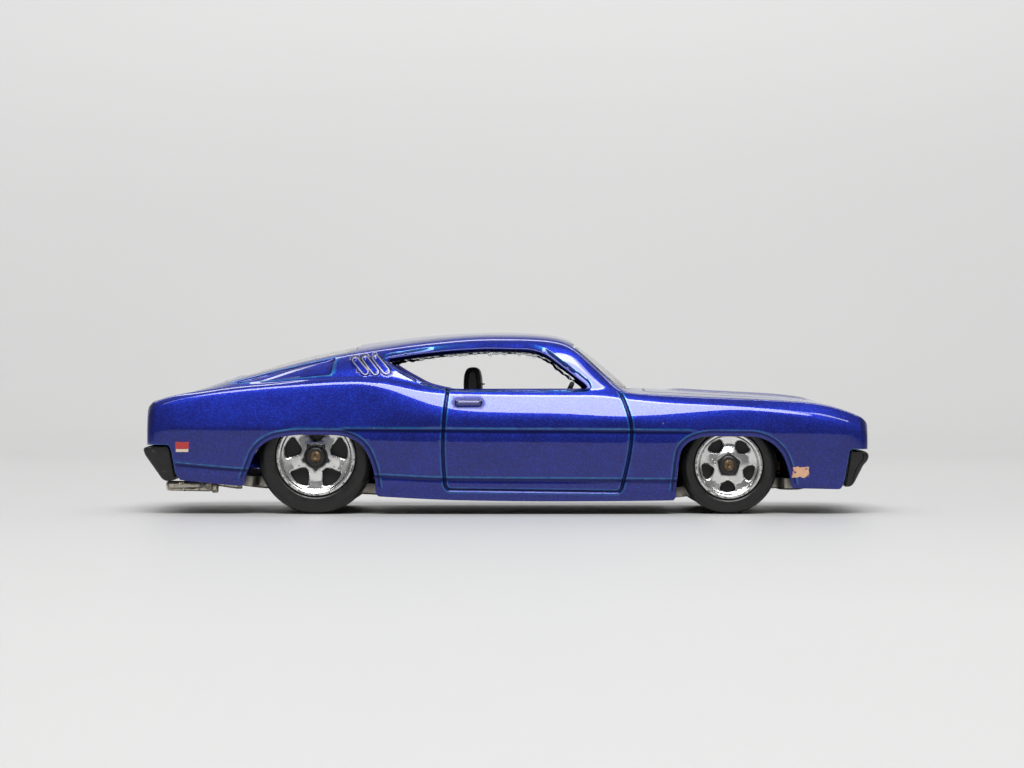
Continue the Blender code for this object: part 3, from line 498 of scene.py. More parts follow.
# ---- patch mesher ----

class Patch:
    """Triangles with a corner normal each, gathered from patches and welded at the end."""

    def __init__(self):
        self.points, self.normals, self.marks = [], [], {}

    def add(self, corners, normals, marks):
        """corners and normals are (n, 3, 3); marks maps names to (n, 3)."""
        count = sum(len(p) for p in self.points)
        self.points.append(corners)
        self.normals.append(normals)
        for name in sorted({*self.marks, *marks}):
            held = self.marks.setdefault(name, [np.zeros((count, 3))] if count else [])
            held.append(marks.get(name, np.zeros(corners.shape[:2])))

    def add_mirrored(self):
        """Adds the same triangles on the other side of the car."""
        flip = np.array([1.0, -1.0, 1.0])
        for held in (self.points, self.normals):
            whole = np.concatenate(held)
            held[:] = [whole, whole[:, ::-1] * flip]
        for name, held in self.marks.items():
            whole = np.concatenate(held)
            self.marks[name] = [whole, whole[:, ::-1]]

    def object(self, name, material):
        """One welded mesh object, with its marks as attributes."""
        points = np.concatenate(self.points).reshape(-1, 3)
        normals = np.concatenate(self.normals).reshape(-1, 3)
        index, first = np.arange(len(points)), np.arange(len(points))
        for shift in (0.0, 0.5):
            keys = np.round(points[first] / WELD + shift).astype(np.int64)
            _, kept_from, group = np.unique(keys, axis=0, return_index=True, return_inverse=True)
            first = first[kept_from]
            index = group.reshape(-1)[index]
        tris = index.reshape(-1, 3)
        whole = (tris[:, 0] != tris[:, 1]) & (tris[:, 1] != tris[:, 2]) & (tris[:, 2] != tris[:, 0])
        tris = tris[whole]
        kept = np.repeat(whole, 3)
        mesh = bpy.data.meshes.new(name)
        mesh.from_pydata((points[first] * MM).tolist(), [], tris.tolist())
        mesh.shade_smooth()
        for mark, held in self.marks.items():
            values = np.concatenate(held).reshape(-1)[first]
            layer = mesh.attributes.new(mark, "FLOAT", "POINT")
            layer.data.foreach_set("value", values.astype(np.float32))
        mesh.materials.append(material)
        mesh.update()
        mesh.normals_split_custom_set(normals[kept].tolist())
        return linked(name, mesh)


def triangulated(corners, paths, grid, clear, within=None, with_rings=True):
    """Triangles over a rectangle, or within a closed line, with edges along every path."""
    (low_u, low_v), (high_u, high_v) = corners
    border = np.array(rectangle(low_u, low_v, high_u, high_v))
    points, edges = [], []

    def add_line(line, closed):
        start = len(points)
        points.extend(line.tolist())
        count = len(line)
        edges.extend((start + i, start + i + 1) for i in range(count - 1))
        if closed:
            edges.append((start + count - 1, start))

    for path in paths:
        if path.hole or with_rings:
            add_line(path.line, path.closed)
        for ring in path.rings if with_rings else ():
            add_line(offset_line(path.line, ring, path.closed), path.closed)
    if within is not None:
        add_line(within, True)
    for start, end in zip(border, np.roll(border, -1, axis=0)):
        add_line(resampled(np.array([start, end]), BORDER_STEP, False), False)
    taken = finder(points)
    points.extend([u, v] for u, v in grid if taken.find((u, v, 0.0))[2] > clear)
    verts, _, faces, *_ = delaunay_2d_cdt([Vector(p) for p in points], edges, [], 0, 1e-5)
    flat = np.array([tuple(v) for v in verts])
    tris = np.array([f for f in faces if len(f) == 3])
    middle = flat[tris].mean(axis=1)
    keep = ((middle > (low_u, low_v)) & (middle < (high_u, high_v))).all(axis=1)
    if within is not None:
        keep &= inside(middle, within)
    for path in paths:
        if path.hole:
            keep &= ~inside(middle, path.line)
    tris = tris[keep]
    a, b, c = (flat[tris[:, i]] for i in range(3))
    turn = (b - a)[:, 0] * (c - a)[:, 1] - (b - a)[:, 1] * (c - a)[:, 0]
    tris = np.where((turn > 0)[:, None], tris, tris[:, ::-1])[np.abs(turn) > TINY]
    used, tris = np.unique(tris, return_inverse=True)
    return flat[used], tris.reshape(-1, 3)


def pressed(flat, paths, base, points, normals):
    """How far each point sinks, how its normal leans, and the paths' marks there."""
    depth = np.zeros(len(points))
    lean = np.zeros_like(points)
    marks = {}
    for path in paths:
        beside = path.reach * 1.4  # along and across are stretched a little against millimetres
        low, high = path.line.min(axis=0) - beside, path.line.max(axis=0) + beside
        near = np.nonzero(((flat >= low) & (flat <= high)).all(axis=1))[0]
        if len(near) == 0:
            continue
        s, grow = distance_to(path, base, points[near], normals[near], flat[near])
        part = path.share(*flat[near].T) if path.share is not None else 1.0
        if path.shape is not None:
            small = 1e-3
            slope = (path.shape(s + small) - path.shape(s - small)) / (2 * small)
            depth[near] += path.shape(s) * part
            lean[near] += (slope * part)[:, None] * grow
        for name, mark in path.marks.items():
            held = marks.setdefault(name, np.zeros(len(points)))
            held[near] = np.maximum(held[near], mark(s) * part)
    return depth, lean, marks


def shell_patch(patch, corners, paths, grid, clear, with_normal, within=None, shared=None, wall=WALL,
                coarse=None):
    """Adds one patch: its outer face, its inner face and the walls round its openings.

    shared(u, v) says which points lie on an edge that another patch continues; those are returned. The
    inner face is meshed on the coarse grid.
    """
    def base(u, v):
        return with_normal(u, v)[0]

    flat, tris = triangulated(corners, paths, grid, clear, within)
    points, normals = with_normal(*flat.T)
    depth, lean, marks = pressed(flat, paths, base, points, normals)
    outer = points + normals * depth[:, None]
    lean -= normals * (lean * normals).sum(axis=1, keepdims=True)
    shading = unit(normals - lean)
    patch.add(outer[tris], shading[tris], {k: m[tris] for k, m in marks.items()})
    edges = {}
    for a, b, c in tris.tolist():
        for i, j in ((a, b), (b, c), (c, a)):
            if edges.pop((j, i), None) is None:
                edges[(i, j)] = True
    rim = np.array(list(edges))
    on_shared = np.zeros(len(flat), dtype=bool) if shared is None else shared(*flat.T)
    carried_on = on_shared[rim].all(axis=1)
    border = flat[np.unique(rim[carried_on])]
    i, j = rim[~carried_on].T
    if wall <= 0:
        return border
    back_flat, back = triangulated(corners, paths, grid if coarse is None else coarse, clear, within, False)
    back_points, back_normals = with_normal(*back_flat.T)
    inner = points - normals * wall
    back = back[:, ::-1]
    # inner faces are darkened: painted shade
    inner_shade = {"pool": np.full(back.shape, INSIDE_SHADE)}
    patch.add((back_points - back_normals * wall)[back], -back_normals[back], inner_shade)
    quads = np.stack([outer[i], inner[i], inner[j], outer[j]], axis=1)
    out = unit(np.cross(outer[j] - outer[i], normals[i]))
    facing = np.zeros_like(points)
    np.add.at(facing, i, out)
    np.add.at(facing, j, out)
    facing = unit(facing)
    walls = np.stack([facing[i], facing[i], facing[j], facing[j]], axis=1)
    for pick in ([0, 1, 2], [0, 2, 3]):
        patch.add(quads[:, pick], walls[:, pick], {})
    return border


def even_grid(low, high, gap):
    """Points of a staggered grid that fills a rectangle."""
    rows = np.arange(low[1] + gap / 2, high[1], gap * 0.87)
    out = []
    for k, v in enumerate(rows):
        for u in np.arange(low[0] + gap * (0.5 if k % 2 else 0.2), high[0], gap):
            out.append((float(u), float(v)))
    return out


def add_faces(patch, points, tris, marks):
    """Adds triangles whose corner normals are weighted by area, so that flats stay flat."""
    a, b, c = (points[tris[:, i]] for i in range(3))
    area = np.cross(b - a, c - a)
    normals = np.zeros_like(points)
    for i in range(3):
        np.add.at(normals, tris[:, i], area)
    marks = {name: np.full(tris.shape, value) for name, value in (marks or {}).items()}
    patch.add(points[tris], unit(normals)[tris], marks)


def solid(patch, rings, marks=None, closed=False):
    """A closed skin through rings of points, capped at both ends unless the rings themselves close."""
    rings = np.array(rings)
    count, size = rings.shape[:2]
    points = rings.reshape(-1, 3)
    index = np.arange(count * size).reshape(count, size)
    a, b = (index, np.roll(index, -1, axis=0)) if closed else (index[:-1], index[1:])
    c, d = np.roll(b, -1, axis=1), np.roll(a, -1, axis=1)
    tris = np.concatenate([np.stack(t, axis=-1).reshape(-1, 3) for t in ((a, b, c), (a, c, d))])
    if not closed:
        end = rings[0]
        cap = np.array(tessellate_polygon([[Vector(p) for p in end]]))
        lead = np.cross(end[cap[:, 1]] - end[cap[:, 0]], end[cap[:, 2]] - end[cap[:, 0]]).sum(axis=0)
        onward = rings[1].mean(axis=0) - end.mean(axis=0)
        first = cap if (lead * onward).sum() < 0 else cap[:, ::-1]
        tris = np.concatenate([tris, first, first[:, ::-1] + (count - 1) * size])
    a, b, c = (points[tris[:, i]] for i in range(3))
    if np.einsum("ij,ij->i", a, np.cross(b, c)).sum() < 0:
        tris = tris[:, ::-1]
    add_faces(patch, points, tris, marks)


# a quarter round, as (inset, distance along) in shares of its radius
ROUND_STEPS = ((1.0, 0.0), (0.62, 0.08), (0.29, 0.29), (0.08, 0.62), (0.0, 1.0))


def bar(patch, outline, low, high, edge=0.12, corner=0.15, crown=0.0):
    """A side-view outline (x, z) drawn out along Y, with rounded edges; crown swells its middle."""
    low, high = sorted((low, high))
    line = rounded(outline, True, corner, 0.25)
    if signed_area(line) > 0:
        line = line[::-1]
    stations = [(low + edge * along, edge * inset) for inset, along in ROUND_STEPS]
    stations += [((low + high) / 2, -crown)]
    stations += [(high - edge * along, edge * inset) for inset, along in reversed(ROUND_STEPS)]
    rings = []
    for y, inset in stations:
        flat = offset_line(line, -inset, True)
        rings.append(np.stack([flat[:, 0], np.full(len(flat), y), flat[:, 1]], axis=1))
    solid(patch, rings)


def tube(patch, line, radius, sides=12, closed=False):
    """A round rod along a line of points."""
    line = np.array(line, dtype=float)
    run = unit(directions(line, closed))
    first = np.cross(run[0], (0.0, 0.0, 1.0) if abs(run[0, 2]) < 0.9 else (0.0, 1.0, 0.0))
    side = [first / np.linalg.norm(first)]
    for way in run[1:]:
        turned_on = side[-1] - way * (side[-1] @ way)
        side.append(turned_on / np.linalg.norm(turned_on))
    side = np.array(side)
    over = np.cross(side, run)
    turns = np.linspace(0, FULL_TURN, sides, endpoint=False)
    radii = np.full(len(line), float(radius))
    if not closed:
        radii[[0, -1]] *= 0.75
    rings = [
        p + r * (np.cos(turns)[:, None] * s + np.sin(turns)[:, None] * o)
        for p, r, s, o in zip(line, radii, side, over)
    ]
    solid(patch, rings, closed=closed)


def spun(patch, profile, place, steps, corner, spacing, marks=None):
    """A closed outline of (radius, height) turned about its axis; place gives x, y and z."""
    radius, height = rounded(profile, True, corner, spacing).T
    rings = []
    for turn in np.linspace(0, FULL_TURN, steps, endpoint=False):
        rings.append(np.stack(place(radius * math.cos(turn), radius * math.sin(turn), height), axis=1))
    solid(patch, rings, marks, closed=True)


def turned(patch, profile, centre, side, steps=64, corner=0.12, spacing=0.18, marks=None):
    """A closed outline of (radius, distance out) turned about an axle at (x, z)."""
    x, z = centre
    spun(patch, profile, lambda a, b, h: (x + a, side * h, z + b), steps, corner, spacing, marks)


def finished(patch, name, material, body, slot, *nodes):
    """Makes a patch's object; says which body it rides on and the CAD nodes it stands for; slot, its finish, is not
    used.
    """
    obj = patch.object(name, material)
    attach(obj, body)
    if nodes:
        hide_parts(*nodes)


# ---- materials ----

class Nodes:
    """Short ways to build a node tree for one material."""

    def __init__(self, name):
        self.material = bpy.data.materials.new(name)
        self.material.use_nodes = True
        self.tree = self.material.node_tree
        self.shader = self.tree.nodes["Principled BSDF"]
        self.place = self.tree.nodes.new("ShaderNodeTexCoord").outputs["Object"]

    def new(self, kind, **values):
        node = self.tree.nodes.new(kind)
        for key, value in values.items():
            setattr(node, key, value)
        return node

    def set(self, socket, value):
        if isinstance(value, bpy.types.NodeSocket):
            self.tree.links.new(value, socket)
        else:
            socket.default_value = value

    def shade(self, **values):
        for key, value in values.items():
            if isinstance(value, tuple):
                value = (*value, 1.0)
            self.set(self.shader.inputs[key.replace("_", " ")], value)

    def math(self, operation, a, b=0.0):
        node = self.new("ShaderNodeMath", operation=operation)
        for socket, value in zip(node.inputs, (a, b)):
            self.set(socket, value)
        return node.outputs[0]

    def times(self, a, b):
        return self.math("MULTIPLY", a, b)

    def rest(self, value):
        return self.math("SUBTRACT", 1.0, value)

    def most(self, first, *others):
        for other in others:
            first = self.math("MAXIMUM", first, other)
        return first

    def mix(self, factor, a, b):
        """A colour between two, each a socket or red, green and blue."""
        node = self.new("ShaderNodeMix", data_type="RGBA")
        for i, value in ((0, factor), (6, a), (7, b)):
            self.set(node.inputs[i], (*value, 1.0) if isinstance(value, tuple) else value)
        return node.outputs[2]

    def mix_value(self, factor, a, b):
        node = self.new("ShaderNodeMix", data_type="FLOAT")
        for i, value in ((0, factor), (2, a), (3, b)):
            self.set(node.inputs[i], value)
        return node.outputs[0]

    def ramp(self, value, low, high, from_value=0.0, to_value=1.0):
        node = self.new("ShaderNodeMapRange", interpolation_type="SMOOTHSTEP")
        self.set(node.inputs[0], value)
        for socket, number in zip(node.inputs[1:5], (low, high, from_value, to_value)):
            socket.default_value = number
        return node.outputs[0]

    def noise(self, size, detail=2.0, rough=0.5, stretch=None, shift=0.0):
        """Noise whose blobs are about size millimetres across."""
        place = self.place
        if stretch or shift:
            mapping = self.new("ShaderNodeMapping")
            self.set(mapping.inputs[0], place)
            mapping.inputs["Scale"].default_value = stretch or (1, 1, 1)
            mapping.inputs["Location"].default_value = (shift, shift, shift)
            place = mapping.outputs[0]
        node = self.new("ShaderNodeTexNoise")
        self.set(node.inputs["Vector"], place)
        node.inputs["Scale"].default_value = 1 / (size * MM)
        node.inputs["Detail"].default_value = detail
        node.inputs["Roughness"].default_value = rough
        return node.outputs[0]

    def cells(self, size, output="Distance"):
        node = self.new("ShaderNodeTexVoronoi")
        self.set(node.inputs["Vector"], self.place)
        node.inputs["Scale"].default_value = 1 / (size * MM)
        return node.outputs[output]

    def mark(self, name):
        return self.new("ShaderNodeAttribute", attribute_name=name).outputs["Fac"]

    def axes(self):
        node = self.new("ShaderNodeSeparateXYZ")
        self.set(node.inputs[0], self.place)
        return node.outputs

    def bump(self, height, distance, strength=1.0, onto=None):
        node = self.new("ShaderNodeBump")
        self.set(node.inputs["Height"], height)
        node.inputs["Distance"].default_value = distance * MM
        node.inputs["Strength"].default_value = strength
        if onto is not None:
            self.set(node.inputs["Normal"], onto)
        return node.outputs[0]

    def inside_box(self, low, high, edge=0.03, wander=0.0):
        """1 within a box of x, |y| and z in millimetres, its edges moved about by wander."""
        x, y, z = self.axes()
        wobble = self.times(self.math("SUBTRACT", self.noise(0.35, 3), 0.5), wander * MM)
        result = 1.0
        for axis, a, b in zip((x, self.math("ABSOLUTE", y), z), low, high):
            value = self.math("ADD", axis, wobble)
            above = self.ramp(value, (a - edge) * MM, (a + edge) * MM)
            below = self.ramp(value, (b - edge) * MM, (b + edge) * MM, 1.0, 0.0)
            result = self.times(result, self.times(above, below))
        return result


def candy_paint():
    """Clear blue over bare metal: deep in hollows, where paint pools and shade is painted in, thin and pale on edges,
    chipped here and there.
    """
    n = Nodes("candy_blue_paint")
    thin, pool, bare = n.mark("thin"), n.mark("pool"), n.mark("bare")
    cloud = n.noise(2.6, 3, 0.6)
    flake = 0.085
    sparkle = n.new("ShaderNodeSeparateColor")
    n.set(sparkle.inputs[0], n.cells(flake, "Color"))
    colour = n.mix(cloud, (0.0028, 0.006, 0.155), (0.004, 0.012, 0.225))
    colour = n.mix(n.ramp(sparkle.outputs[0], 0.55, 1.0, 0.0, 0.5), colour, (0.010, 0.055, 0.58))
    worn_thin = n.times(thin, n.ramp(n.noise(0.8, 3), 0.3, 0.65, 0.35, 0.9))
    colour = n.mix(worn_thin, colour, (0.012, 0.19, 0.45))
    # near-black blue in grooves, recesses and on inner faces: pooled paint, and painted shade
    colour = n.mix(n.times(pool, 0.93), colour, (0.0015, 0.004, 0.05))
    chips = n.times(n.ramp(thin, 0.35, 0.8), n.ramp(n.noise(0.5, 4, 0.7, shift=0.013), 0.66, 0.69))
    specks = n.times(n.ramp(n.cells(1.9), 0.045, 0.03), n.ramp(n.noise(9.0, 1), 0.56, 0.6))
    rings = n.times(n.ramp(bare, 0.4, 0.6), n.ramp(n.noise(0.45, 4, 0.65, shift=0.004), 0.7, 0.62))
    metal = n.most(chips, specks, rings)
    tarnish = n.mix(n.noise(0.3, 3, 0.6), (0.34, 0.33, 0.31), (0.12, 0.115, 0.11))
    colour = n.mix(metal, colour, tarnish)
    # markers, lamp lenses and the printed tail panel
    red = n.inside_box((-35.5, 12.0, 7.02), (-34.05, 20.0, 7.8), wander=0.16)
    cream = n.inside_box((-35.45, 12.0, 6.72), (-34.1, 20.0, 7.02), wander=0.16)
    left_on = n.ramp(n.noise(0.55, 3, 0.6, shift=0.02), 0.66, 0.62)
    amber = n.times(n.inside_box((30.7, 12.0, 4.0), (32.4, 20.0, 5.08), wander=0.5), left_on)
    lamps = n.inside_box((-42.0, 3.4, 8.55), (-38.3, 11.1, 9.95))
    dark = n.inside_box((-42.0, 0.0, 8.3), (-38.3, 11.4, 10.2))
    colour = n.mix(red, colour, n.mix(left_on, (0.2, 0.003, 0.003), (0.36, 0.005, 0.004)))
    colour = n.mix(cream, colour, (0.55, 0.47, 0.34))
    colour = n.mix(amber, colour, n.mix(n.noise(0.7, 2), (0.62, 0.46, 0.28), (0.5, 0.13, 0.05)))
    colour = n.mix(dark, colour, (0.006, 0.006, 0.007))
    colour = n.mix(lamps, colour, (0.32, 0.006, 0.008))
    markers = n.times(n.most(red, cream), n.ramp(n.noise(0.4, 3), 0.66, 0.63))
    printed = n.most(markers, amber, dark, lamps)
    peel = n.bump(n.noise(1.3, 2), 0.006, 0.35)
    grain = n.bump(n.noise(0.18, 2), 0.004, 0.5, peel)
    # less coat in grooves and recesses dims their reflections: painted shade; bare metal has no coat
    n.shade(Base_Color=colour, Metallic=n.times(0.92, n.rest(printed)),
            Roughness=n.mix_value(metal, n.ramp(cloud, 0.3, 0.7, 0.38, 0.44), 0.45),
            Normal=n.bump(n.cells(flake), 0.004, 0.5, grain), Coat_Roughness=0.035, Coat_IOR=1.55,
            Coat_Weight=n.rest(n.times(n.most(pool, metal), 0.75)))
    n.set(n.shader.inputs["Coat Normal"], peel)
    return n.material


def black_plastic(name, shine, worn):
    """Moulded black plastic, a little grey where it has been rubbed."""
    n = Nodes(name)
    rubbed = n.ramp(n.noise(0.9, 4, 0.65), 0.6, 0.74)
    scratch = n.ramp(n.noise(0.25, 3, 0.6, stretch=(0.25, 0.5, 1.0)), 0.68, 0.75)
    wear = n.times(n.most(rubbed, scratch), worn)
    colour = n.mix(n.noise(3.0, 2), (0.0055, 0.0052, 0.005), (0.0105, 0.01, 0.0095))
    colour = n.mix(wear, colour, (0.045, 0.043, 0.041))
    rough = n.mix_value(wear, n.ramp(n.noise(0.6, 3), 0.3, 0.7, shine - 0.05, shine + 0.07), shine + 0.2)
    n.shade(Base_Color=colour, Roughness=rough, Normal=n.bump(n.noise(0.12, 2), 0.005, 0.45),
            Specular_IOR_Level=0.5)
    return n.material


def clear_plastic():
    n = Nodes("clear_plastic")
    smear = n.noise(2.2, 3)
    n.shade(Base_Color=n.mix(smear, (0.93, 0.96, 0.97), (0.98, 0.99, 0.99)), Transmission_Weight=1.0,
            Roughness=n.ramp(smear, 0.35, 0.75, 0.0, 0.06), IOR=1.5,
            Normal=n.bump(n.noise(1.4, 2), 0.005, 0.4))
    return n.material


def stained_and_shaded_metal(name, bright, warm, stain=1.0):
    """Bare cast metal under a patchy dark wash, and painted shade in its hollows and on its inner faces."""
    n = Nodes(name)
    wash = n.ramp(n.noise(1.1, 5, 0.7), 0.46, 0.64, 0.0, stain)
    specks = n.ramp(n.noise(0.35, 4, 0.7, shift=0.05), 0.55, 0.66, 0.0, 0.8 * stain)
    # dark wash and specks are dirt; the mark adds painted shade in hollows and on inner faces
    dark = n.most(wash, specks, n.mark("pool"))
    colour = n.mix(dark, n.mix(n.noise(2.5, 2), bright, warm), (0.012, 0.011, 0.01))
    n.shade(Base_Color=colour, Metallic=n.mix_value(dark, 1.0, 0.35),
            Roughness=n.mix_value(dark, n.ramp(n.noise(0.7, 3), 0.3, 0.7, 0.24, 0.42), 0.55),
            Normal=n.bump(n.noise(0.3, 4), 0.012, 0.6))
    return n.material


def worn_chrome():
    """Foil-thin chrome stamped on black plastic, rubbed through at its edges and scratched."""
    n = Nodes("stamped_chrome")
    rub = n.times(n.ramp(n.mark("thin"), 0.2, 0.9), n.ramp(n.noise(0.5, 4, 0.7), 0.52, 0.57))
    chips = n.ramp(n.noise(0.42, 4, 0.72, stretch=(1.0, 1.0, 2.2), shift=0.031), 0.64, 0.655)
    pits = n.times(n.ramp(n.cells(0.55), 0.1, 0.07), n.ramp(n.noise(1.6, 2), 0.5, 0.55))
    gone = n.most(rub, chips, pits, n.mark("black"))
    chrome = n.rest(gone)
    haze = n.noise(1.0, 3)
    colour = n.mix(gone, n.mix(haze, (0.86, 0.85, 0.83), (0.76, 0.75, 0.74)), (0.009, 0.0085, 0.0085))
    rough = n.mix_value(gone, n.ramp(haze, 0.3, 0.75, 0.16, 0.3), 0.38)
    scratches = n.bump(n.noise(0.09, 2, 0.5, stretch=(1.0, 1.0, 0.25)), 0.003, 0.35)
    n.shade(Base_Color=colour, Metallic=chrome, Roughness=rough, Normal=n.bump(chrome, 0.012, 0.5, scratches))
    return n.material


def tyre_rubber():
    n = Nodes("tyre_black")
    dust = n.ramp(n.noise(1.2, 4, 0.6), 0.5, 0.8, 0.0, 0.5)
    colour = n.mix(dust, (0.0065, 0.006, 0.0055), (0.017, 0.0155, 0.014))
    n.shade(Base_Color=colour, Roughness=n.ramp(n.noise(0.8, 3), 0.3, 0.7, 0.27, 0.42),
            Normal=n.bump(n.noise(0.25, 3), 0.006, 0.4), Specular_IOR_Level=0.5)
    return n.material


def axle_steel():
    n = Nodes("axle_steel")
    rust = n.ramp(n.noise(0.4, 4, 0.6), 0.42, 0.64)
    colour = n.mix(rust, (0.20, 0.14, 0.085), (0.06, 0.034, 0.016))
    n.shade(Base_Color=colour, Metallic=n.mix_value(rust, 1.0, 0.6),
            Roughness=n.mix_value(rust, 0.38, 0.62), Normal=n.bump(n.noise(0.15, 3), 0.01, 0.5))
    return n.material


def studio_floor():
    n = Nodes("studio_floor")
    tone = n.noise(160.0, 2)
    n.shade(Base_Color=n.mix(tone, (0.44, 0.44, 0.436), (0.47, 0.47, 0.466)),
            Roughness=n.ramp(tone, 0.3, 0.7, 0.42, 0.46), Specular_IOR_Level=0.4)
    return n.material


def printed_lens():
    """Silver paint on a lamp, with the fine ribs of its lens."""
    n = Nodes("silver_lens")
    rib = 0.16 * MM
    ribs = n.math("SINE", n.times(n.axes()[1], FULL_TURN / rib))
    colour = n.mix(n.noise(0.5, 3), (0.78, 0.79, 0.8), (0.62, 0.63, 0.64))
    n.shade(Base_Color=colour, Metallic=0.85, Roughness=n.ramp(n.noise(0.3, 2), 0.3, 0.7, 0.16, 0.3),
            Normal=n.bump(ribs, 0.01, 0.5), Coat_Weight=0.8, Coat_Roughness=0.05)
    return n.material


LENS = printed_lens()
PAINT = candy_paint()
TRIM = black_plastic("satin_black_plastic", 0.34, 1.0)
INTERIOR = black_plastic("interior_black_plastic", 0.42, 0.35)
CLEAR = clear_plastic()
BASE = stained_and_shaded_metal("bare_cast_metal", (0.54, 0.51, 0.46), (0.42, 0.38, 0.32), 0.5)
EXHAUST = stained_and_shaded_metal("stained_cast_metal", (0.78, 0.73, 0.64), (0.66, 0.60, 0.48))
CHROME = worn_chrome()
TYRE = tyre_rubber()
STEEL = axle_steel()


# ---- body ----

# outlines in side view (x, z), in plan (x, y) or from the front (y, z); a third value is a corner's radius
SIDE_WINDOW = [
    (-13.1, 16.85), (-9.8, 17.35), (-6.0, 17.75), (-2.1, 17.95), (2.6, 17.85), (4.2, 17.35),
    (9.0, 13.62), (-4.8, 13.62), (-6.6, 13.75), (-8.8, 14.25), (-11.4, 15.7),
]
REAR_ARCH = [
    (-31.5, -2.0, 0.02), (-31.5, 3.22, 0.02), (-28.22, 2.98, 0.7), (-28.0, 3.9), (-27.5, 5.2), (-26.8, 7.0),
    (-25.2, 8.15), (-22.6, 8.55), (-17.9, 8.5), (-16.4, 8.1), (-15.2, 7.1), (-14.3, 5.0), (-14.05, 2.9),
    (-13.97, 1.93, 0.7), (-11.0, 1.6, 0.02), (-11.0, -2.0, 0.02),
]
FRONT_ARCH = [
    (15.0, -2.0, 0.02), (15.0, 1.25, 0.02), (18.12, 1.47, 0.7), (18.2, 2.6), (18.5, 5.6), (18.8, 7.1),
    (19.8, 7.95), (21.4, 8.4), (26.9, 8.35), (28.5, 7.7), (29.7, 6.4), (30.3, 4.6), (30.48, 3.6),
    (30.58, 2.76, 0.7), (33.5, 2.55, 0.02), (33.5, -2.0, 0.02),
]
TAIL_NOTCH = [
    (-40.5, 7.47, 0.02), (-36.25, 7.47, 0.3), (-36.05, 7.0), (-35.8, 5.8), (-35.6, 4.4), (-35.15, 3.75),
    (-34.6, 3.0), (-34.5, -2.0, 0.02), (-40.5, -2.0, 0.02),
]
NOSE_NOTCH = [
    (40.5, 6.95, 0.02), (37.0, 7.0, 0.3), (36.86, 6.6), (36.5, 4.6), (36.26, 3.4), (36.02, 2.64, 0.5),
    (34.2, 2.5, 0.02), (34.2, -2.0, 0.02), (40.5, -2.0, 0.02),
]
WINDSCREEN = [(10.6, 13.75, 0.3), (10.75, 14.2), (9.7, 17.5), (9.2, 18.1, 0.5), (7.5, 18.4), (0.0, 18.6, 4)]
REAR_WINDOW = [(-28.9, 8.9), (-28.3, 9.5, 0.5), (-17.6, 9.2), (-16.6, 8.6)]
DOOR = [
    (-6.25, 13.8), (-6.75, 10.1, 2), (-6.85, 6.5, 2), (-6.57, 3.0, 0.4), (-6.2, 2.62, 0.3), (12.0, 2.38, 0.4),
    (12.3, 2.66, 0.3), (12.64, 4.0, 1), (13.2, 6.5, 2), (13.5, 9.1, 2), (13.1, 10.9, 1), (12.47, 12.6, 0.6),
    (12.2, 13.1),
]
HANDLE = ((-5.2, 12.0), (-2.95, 12.0))
LOUVERS = [((-16.33, 16.58), (-15.2, 15.3)), ((-15.25, 16.7), (-14.1, 15.3)), ((-14.15, 16.8), (-12.95, 15.4))]
SAIL = [
    (-18.4, 16.95, 0.3), (-18.85, 14.98, 0.3), (-24.0, 14.52, 2), (-29.6, 14.02, 0.2), (-29.7, 14.18, 0.2),
    (-25.4, 15.3, 2), (-22.1, 16.12, 2),
]
BONNET = [(15.0, 0.0, 4), (15.0, 9.7, 0.9), (28.0, 9.9, 2), (36.6, 9.7, 0.9), (37.1, 0.0, 4)]
BOOT = [
    (-37.9, 10.6), (-37.0, 10.6, 0.5), (-30.5, 10.3, 0.7), (-30.5, -10.3, 0.7), (-37.0, -10.6, 0.5), (-37.9, -10.6),
]
# each is across, the x where it starts and ends, and the length over which it fades
CREASE_LINES = ((19.55, 20.5, -18.5, 1.5), (24.5, 19.0, -14.5, 0.5), (24.5, -27.5, -35.8, 0.5))
TAIL_LAMPS = (5.3, 7.25, 9.2)  # y of their middles


def mirrored_outline(half, axis=1):
    """A closed outline from its left half; axis says which value is y."""
    other = [tuple(-value if i == axis else value for i, value in enumerate(p)) for p in reversed(half)]
    return half + [p for p in other if p[axis] != 0]


def pill(start, end, radius, spacing=0.12):
    """A closed line round a rod from start to end."""
    a, b = np.array(start, dtype=float), np.array(end, dtype=float)
    run = (b - a) / np.linalg.norm(b - a)
    side = np.array([-run[1], run[0]])
    out = []
    for centre, first in ((b, 0.0), (a, math.pi)):
        for t in np.linspace(-math.pi / 2, math.pi / 2, 9):
            out.append(centre + radius * (math.cos(t + first) * run + math.sin(t + first) * side))
    return resampled(np.array(out), spacing, True)


def fade_between(low, high, soft):
    return lambda u, v: smooth((u - low) / soft) * smooth((high - u) / soft)


def groove_path(line, closed, width=0.27, depth=0.24):
    rings = (-0.42, -width, -width / 2, width / 2, width, 0.42)
    # the groove's core is darkened: pooled paint, and painted shade
    marks = {"pool": band(-0.12, 0.12, 0.12), "thin": both_sides(width * 0.7, width * 1.02)}
    return Path(line, closed, 0.6, groove(width, depth), rings, marks=marks)


def both_sides(low, high):
    inner = band(low, high, 0.07)
    return lambda s: inner(np.abs(s))


def glazed_lines():
    """The outlines of windscreen and rear window."""
    screen = from_front(rounded(mirrored_outline(WINDSCREEN, 0), radius=0.4), 5.7, 14.7)
    return screen, from_top(rounded(mirrored_outline(REAR_WINDOW), radius=0.5))


def arch_path(outline):
    shape = total(turned_in(0.66, 0.24), rolled_edge(0.12))
    # a darker band on the turned-in lip: painted shade
    marks = {"thin": band(0.62, 0.74, 0.08), "pool": band(0.36, 0.56, 0.2)}
    return Path(from_side(rounded(outline)), True, 1.2, shape, (0.03, 0.1, 0.3, 0.45, 0.6, 0.68, 0.76, 0.9),
                True, marks, share=lambda u, v: smooth((26.3 - v) / 0.8))


